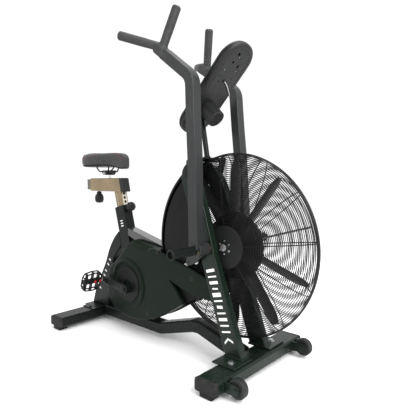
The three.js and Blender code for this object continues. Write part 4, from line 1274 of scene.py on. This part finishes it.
b = B()
b.put(*shell([(206, 82, 76, 2.0), (206, 82, 76, 8), (204.4, 80.4, 75, 11.4), (200, 76, 72, 13.6), (194, 70, 68, 14)]))
b.turned(CONS)
front = make("console_face_piece", b, "console", "frame", "console", ("console_face",), sharp=50)
b = B()
lathe(b, [(0, -30), (5, -30), (5, 30), (0, 30)], (131, -20, 0), (0, 0, 1), 28)
for i, v in enumerate((-34, 0, 34)):
    lathe(b, [(0, 0), (11.5, 0), (11.5, 30), (0, 30)], (-110, v, 0), (0, 0, 1), 40)
b.turned(CONS)
me2 = bpy.data.meshes.new("face_cutter")
me2.from_pydata([P(*p) for p in b.v], [], b.f)
cutter2 = bpy.data.objects.new("face_cutter", me2)
bpy.context.scene.collection.objects.link(cutter2)
bmx = bmesh.new(); bmx.from_mesh(me2); bmesh.ops.recalc_face_normals(bmx, faces=bmx.faces); bmx.to_mesh(me2); bmx.free()
boolean_apply(back, cutter)
boolean_apply(front, cutter2)
for c_ in (cutter, cutter2):
    bpy.data.objects.remove(c_)

b = B()
lathe(b, rprof(34.8, -83, -14.2, 2.5), (-74, 0, 0), (0, 0, 1), 72)
lathe(b, [(0, -83.0), (30, -83.0), (30.6, -83.4), (31.2, -83.0), (31.2, -82), (0, -82)], (-74, 0, 0), (0, 0, 1), 72)
b.turned(CONS)
make("console_boss", b, "console", "frame", "console")
b = B()
for u, v in ((153, 1), (99, 27), (94, -34)):
    lathe(b, [(0, -9), (3.0, -9), (3.6, -12.2), (2.4, -13.2), (0, -13.4)], (u, v, 0), (0, 0, 1), 20)
b.turned(CONS)
make("console_screws", b, "bolt", "frame", "console")
b = B()
b.put(*bridge([[(p[0] + 14, p[1], w) for p in pad_ring(96, 60, 24, 0)] for w in (13.2, 14.25)]))
b.turned(CONS)
make("console_window", b, "screen", "frame", "console")
b = B()
for k, (u0, u1, v0, v1) in enumerate(((58, 98, -45, 45), (-12, 46, -45, -4), (-12, 46, 4, 45), (-68, -26, -45, 45))):
    ring = fillet([(u0, v0), (u1, v0), (u1, v1), (u0, v1)], 5, 4, closed=True)
    sweep(b, [(x, y, 14.3) for x, y in ring], rrect(1.2, 0.35, 0.12, 1), side=(0, 0, 1), loop=True)
b.turned(CONS)
make("console_field_lines", b, "white", "frame", "console")
for i in (1, 2, 3):
    b = B()
    v = (-34, 0, 34)[i - 1]
    lathe(b, [(0, 9.2), (11, 9.2), (11, 14.2), (10.2, 15.6), (8, 16.0), (3, 15.6), (0, 15.4)], (-110, v, 0), (0, 0, 1), 48)
    b.turned(CONS)
    make("console_button_%d_piece" % i, b, "button", "button_%d" % i, "button", ("console_button_%d" % i,))
cpts = [(52, -6, -12.6), (52, -6, -17), (50, 0, -20.6), (42, 14, -22.4), (33, 27, -22.5), (24, 40, -22), (15, 52, -20.8), (6, 64, -19.2), (-1, 73, -17.0)]
b = B()
fine = []
for i in range(len(cpts) - 1):
    p0, p1, p2, p3 = (Vector(cpts[max(0, i - 1)]), Vector(cpts[i]), Vector(cpts[i + 1]), Vector(cpts[min(len(cpts) - 1, i + 2)]))
    for j in range(6):
        t = j / 6
        fine.append(0.5 * (2 * p1 + (p2 - p0) * t + (2 * p0 - 5 * p1 + 4 * p2 - p3) * t * t + (3 * p1 - p0 - 3 * p2 + p3) * t**3))
fine.append(Vector(cpts[-1]))
sweep(b, [tuple(p) for p in fine], circ(1.6, 12), side=(0, 1, 0), fixed=False)
b.turned(CONS)
make("console_cable_piece", b, "cable", "frame", "cable", ("console_cable",))
b = B()
lathe(b, [(0, -13), (7.2, -13), (7.2, -16.2), (5.6, -17), (3.6, -17.2), (2.6, -20), (0, -20)], (52, -6, 0), (0, 0, 1), 28)
b.turned(CONS)
make("console_gland", b, "plastic", "frame", "console")

# ------------------------------------------------------------------ seat
SM = Matrix.Translation((-649, 0, 470)) @ Matrix.Rotation(-14.5 * D, 4, "Y")
b = B()
x0, x1, z0, z1 = -922, -649, 667, 733
# rail tube: outer skin with a real wall and a slot on top
def tube_ring(x_at, hw, hz0, hz1, r):
    return [(x_at(zz), yy, zz) for yy, zz in ((p[0], (hz0 + hz1) / 2 + p[1]) for p in rrect(2 * hw, hz1 - hz0, r, 4))]
rings = [tube_ring(lambda z: x0, 22.5, z0, z1, 5), tube_ring(lambda z: (x1 - 17) - 13 * (z - z0) / 66, 22.5, z0, z1, 5),
         tube_ring(lambda z: (x1 - 17) - 13 * (z - z0) / 66, 18.4, z0 + 5, z1 - 5, 3), tube_ring(lambda z: x0, 18.4, z0 + 5, z1 - 5, 3)]
b.put(*bridge(rings, loop=True))
rail_obj = make("seat_rail_piece", b, "tan", "post", "tan", ("seat_post",))
b = B()
block(b, -856, -724, -14, 14, 700, 760, 6)
mc = bpy.data.meshes.new("slot_cutter")
mc.from_pydata([P(*p) for p in b.v], [], b.f)
cut3 = bpy.data.objects.new("slot_cutter", mc)
bpy.context.scene.collection.objects.link(cut3)
bmx = bmesh.new(); bmx.from_mesh(mc); bmesh.ops.recalc_face_normals(bmx, faces=bmx.faces); bmx.to_mesh(mc); bmx.free()
boolean_apply(rail_obj, cut3)
bpy.data.objects.remove(cut3)
b = B()
capr = [tube_ring(lambda z, s=s: (x1 - s) - 13 * (z - z0) / 66, 22.9 - e, z0 - 0.4 + e, z1 + 0.4 - e, 5) for s, e in ((19, 0.0), (3, 0.0), (1, 0.8), (0, 2.4))]
b.put(*bridge(capr))
make("seat_rail_cap", b, "console", "post", "tan")
b = B()
rings = [[(u, v, w) for u, v in rrect(50, 38, 5, 4)] for w in (0.2, 208)]
b.put(*bridge(rings))
b.turned(SM)
post_obj = make("seat_post_piece", b, "tan", "post", "tan")
# black dished discs on the post's front face stand in for the open pin holes: painted shade of the hole interiors
b = B()
for w in (128, 148, 168, 188):
    lathe(b, [(0, 25.05), (5.2, 25.05), (5.6, 25.35), (6.2, 25.3), (6.2, 24.6), (0, 24.6)], (0, 0, w), (1, 0, 0), 24)
b.turned(SM)
make("seat_post_painted_hole_shade", b, "frame", "post", "tan")
b = B()
for y0, y1 in ((-12, -6.5), (6.5, 12)):
    b.put(*bridge([[(25.0 + d, y, w) for y, w in ((y0, 132), (y1, 132), (y1, 193), (y0, 193))] for d in (0, 0.3)]))
for w in (138, 158, 178):
    b.put(*bridge([[(25.0 + d, y, q) for y, q in ((-6.4, w - 3.5), (6.4, w - 3.5), (6.4, w + 3.5), (-6.4, w + 3.5))] for d in (0, 0.3)]))
b.turned(SM)
make("seat_post_label", b, "label", "post", "tan")
# printed scale on the post
b = B()
for i in range(9):
    w = 110 + i * 10
    L = 9 if i % 2 == 0 else 5
    b.put(*bridge([[(-10, -19.12 + dy, w), (-10 + L, -19.12 + dy, w), (-10 + L, -19.12 + dy, w + 1.1), (-10, -19.12 + dy, w + 1.1)] for dy in (0, 0.3)]))
b.turned(SM)
make("seat_post_scale", b, "white", "post", "tan")
keep("seat_slider", "slider", 0.0015)
b = B()
lathe(b, [(0, 727.8), (13, 727.8), (13, 729.5), (11.2, 730.5), (11.2, 748), (0, 748)], (-790, 0, 0), (0, 0, 1), 48)
make("saddle_stub", b, "chrome", "seat", "steel")


def lobed(b, o, axis, r, h0, h1, lobes=8, depth=1.6, n=96, crown=2.5):
    """Knob body with finger grooves and a crowned end."""
    A = Vector(axis).normalized()
    X = A.orthogonal().normalized() if abs(A.y) < 0.99 else Vector((1, 0, 0))
    Z = X.cross(A)
    O = Vector(o)
    s = 1 if h1 > h0 else -1
    rings = []
    L = abs(h1 - h0)
    for rr, hh, dd in ((0.62, 0, 0.2), (0.80, 0.08, 0.6), (0.95, 0.25, 1), (1, 0.45, 1), (0.98, 0.70, 1), (0.88, 0.87, 0.8), (0.68, 0.96, 0.4), (0.35, 1.0, 0.1), (0.08, 1.0, 0)):
        rr, hh = rr * r, h0 + s * hh * L
        ring = []
        for i in range(n):
            a = 2 * math.pi * i / n
            q = rr - depth * dd * (0.5 + 0.5 * math.cos(a * lobes)) ** 1.5
            ring.append(tuple(O + A * hh + (X * math.cos(a) + Z * math.sin(a)) * q))
        rings.append(ring)
    b.put(*bridge(rings))


b = B()
lobed(b, (-880, 0, 0), (0, 0, 1), 22, 651.5, 606.5, 8, 2.6)
lathe(b, [(0, 671.6), (5.5, 671.6), (5.5, 663.6), (11.6, 663.4), (12, 662.4), (12, 652), (17, 651), (0, 651)], (-880, 0, 0), (0, 0, 1), 40)
make("slider_knob_piece", b, "plastic", "fore_aft_knob", "knob", ("slider_knob",))
b = B()
lobed(b, (0, 0, 116), (1, 0, 0), 22.6, 45.4, 74.6, 12, 1.8)
lathe(b, [(0, 26), (5.9, 26), (5.9, 42), (9.5, 44), (9.5, 46), (0, 46)], (0, 0, 116), (1, 0, 0), 32)
b.turned(SM)
make("height_knob_piece", b, "plastic", "pop_pin", "knob", ("height_knob",))

# saddle clamp and rails
b = B()
for s in (-1, 1):
    pts = fillet([(-842, s * 36, 787), (-833, s * 25, 765), (-748, s * 21, 765), (-728, s * 14, 785)], 14, 6)
    sweep(b, pts, circ(3.5, 14), side=(0, 1, 0), cap_r=1, fixed=False)
rails = make("saddle_rails", b, "frame", "seat", "frame")
b = B()
rslab(b, smooth_outline([(-814, 768.5), (-766, 768.5), (-771, 757), (-779, 748.6), (-801, 748.6), (-809, 757)], 40, 4), -28, 28, 3, 3)
block(b, -811, -769, -27, 27, 762, 771.5, 2.5)
make("saddle_clamp_piece", b, "plastic", "seat", "frame", ("saddle_clamp",))
b = B()
for s in (-1, 1):
    hexhead(b, (-790, s * 27.6, 757), (0, s, 0), 6.4, 4.2, 8.6)
make("saddle_clamp_bolt", b, "bolt", "seat", "steel")

# saddle: lower shell and padded leather top
def saddle_half_width(x):
    T = [(-938, 16), (-933, 45), (-922, 66), (-905, 81), (-880, 86), (-850, 85.5), (-820, 77), (-796, 64), (-772, 50), (-748, 39), (-720, 31), (-690, 26.5), (-660, 23.5), (-647, 18), (-640.5, 10)]
    for (a, wa), (c, wc) in zip(T, T[1:]):
        if a <= x <= c:
            return wa + (wc - wa) * (x - a) / (c - a)
    return T[0][1] if x < T[0][0] else T[-1][1]


XS = [-938, -935.5, -930, -921, -908, -892, -874, -854, -832, -812, -792, -772, -752, -732, -712, -692, -674, -658, -647, -643, -640.5]


def top_line(x):
    T = [(-938, 838), (-926, 852), (-903, 860), (-868, 861.5), (-830, 859.5), (-790, 857.5), (-750, 857.5), (-715, 857.5), (-685, 855), (-658, 847), (-640.5, 832)]
    for (a, wa), (c, wc) in zip(T, T[1:]):
        if a <= x <= c:
            t = (x - a) / (c - a)
            return wa + (wc - wa) * (t * t * (3 - 2 * t) * 0.4 + t * 0.6)
    return T[-1][1]


def low_line(x):
    T = [(-938, 808), (-926, 797), (-900, 791), (-860, 789), (-820, 791), (-780, 793), (-740, 792), (-700, 784), (-670, 776), (-640.5, 782)]
    for (a, wa), (c, wc) in zip(T, T[1:]):
        if a <= x <= c:
            return wa + (wc - wa) * (x - a) / (c - a)
    return T[-1][1]


b = B()
rings = []
for x in XS:
    w, zt, zb = saddle_half_width(x), top_line(x), low_line(x)
    ring = []
    for i in range(32):
        a = 2 * math.pi * i / 32
        c, s = math.cos(a), math.sin(a)
        # full sides, a soft crown, a shallow relief channel down the middle
        yy = w * math.copysign(abs(c) ** (0.55 if s > 0 else 0.42), c)
        zm = (zt + zb) / 2 - 3
        zz = zm + ((zt - zm) * abs(s) ** 0.62 if s > 0 else -(zm - zb) * abs(s) ** 0.5)
        if s > 0:
            zz -= 4.0 * math.exp(-((yy / 13) ** 2)) * max(0, min(1, (x + 925) / 60)) * max(0, min(1, (-672 - x) / 40))
            zz -= 4.5 * (abs(yy) / 86) ** 2
        ring.append((x, yy, zz))
    rings.append(ring)
b.put(*bridge(rings))
saddle = make("saddle_pad", b, "leather", "seat", "leather", ("saddle",), wn=False, sharp=180)
sub = saddle.modifiers.new("soft", "SUBSURF")
sub.levels = sub.render_levels = 2
# red stitching: two lines down each side of the tail and one across the nose
def pad_point(x, a):
    w, zt, zb = saddle_half_width(x), top_line(x), low_line(x)
    c, q = math.cos(a), math.sin(a)
    zm = (zt + zb) / 2 - 3
    yy = w * math.copysign(abs(c) ** 0.55, c)
    return (x, yy, zm + (zt - zm) * abs(q) ** 0.62 - 4.5 * (abs(yy) / 86) ** 2)


b = B()
seams = [[(-918 + i * 1.9, 62 - 60 * i / 24) for i in range(25)],
         [(-850 + i * 2.2, 4 + 50 * i / 24) for i in range(25)],
         [(-735 + i * 2.8, 60 - 45 * (i / 29) ** 2) for i in range(30)]]
for seam in seams:
    for s in (-1, 1):
        for k in range(0, len(seam) - 1):
            p0, p1 = [Vector(pad_point(x, a * D)) for x, a in seam[k:k + 2]]
            p0.y *= s
            p1.y *= s
            d = p1 - p0
            out = Vector((0, s * 0.8, 0.6)) * 0.15
            sweep(b, [tuple(p0 + d * 0.12 + out), tuple(p0 + d * 0.5 + out * 3), tuple(p0 + d * 0.86 + out)], circ(0.75, 8), cap_r=0.3, fixed=False)
make("saddle_stitching", b, "thread", "seat", "leather")
# hard base under the pad
b = B()
rings = []
for x in XS[1:-1]:
    w, zb = saddle_half_width(x), low_line(x)
    drop = 6
    ring = []
    for i in range(24):
        a = 2 * math.pi * i / 24
        c, s = math.cos(a), math.sin(a)
        ring.append((x, (w - 3.0) * math.copysign(abs(c) ** 0.45, c), zb + 3.5 + (2 if s > 0 else drop) * math.copysign(abs(s) ** 0.6, s)))
    rings.append(ring)
b.put(*bridge(rings))
base = make("saddle_base", b, "plastic", "seat", "leather", wn=False, sharp=60)
sub = base.modifiers.new("soft", "SUBSURF")
sub.levels = sub.render_levels = 1

# ------------------------------------------------------------------ stage and light
bpy.context.view_layer.update()
me = bpy.data.meshes.new("floor")
me.from_pydata([(-30, -30, -0.0005), (30, -30, -0.0005), (30, 30, -0.0005), (-30, 30, -0.0005)], [], [(0, 1, 2, 3)])
floor = bpy.data.objects.new("floor", me)
bpy.context.scene.collection.objects.link(floor)
n = N("floor_pale")
col = n.mix(n.ramp(n.noise(3, 4), 0.3, 0.7), (0.95, 0.95, 0.95), (0.965, 0.965, 0.965))
n.link(col, n.b.inputs["Base Color"])
n.b.inputs["Roughness"].default_value = 0.9
me.materials.append(n.m)
world = bpy.data.worlds.new("world")
bpy.context.scene.world = world
world.use_nodes = True
bg = world.node_tree.nodes["Background"]
bg.inputs[0].default_value = (1, 1, 1, 1)
bg.inputs[1].default_value = 1.05


def area(name, loc, target, size, power):
    l = bpy.data.lights.new(name, "AREA")
    l.shape = "RECTANGLE"
    l.size, l.size_y = size
    l.energy = power
    o = bpy.data.objects.new(name, l)
    bpy.context.scene.collection.objects.link(o)
    o.location = loc
    o.rotation_mode = "QUATERNION"
    o.rotation_quaternion = (Vector(target) - Vector(loc)).to_track_quat("-Z", "Y")


area("key", (2.6, -0.6, 2.4), (0, 0, 0.6), (1.6, 2.2), 110)
area("fill", (-1.2, -3.0, 1.6), (0, 0, 0.6), (2.0, 2.0), 14)
area("top", (0.1, 0.3, 3.4), (0, 0, 0), (2.4, 1.6), 42)
bpy.context.scene.view_settings.view_transform = "Standard"
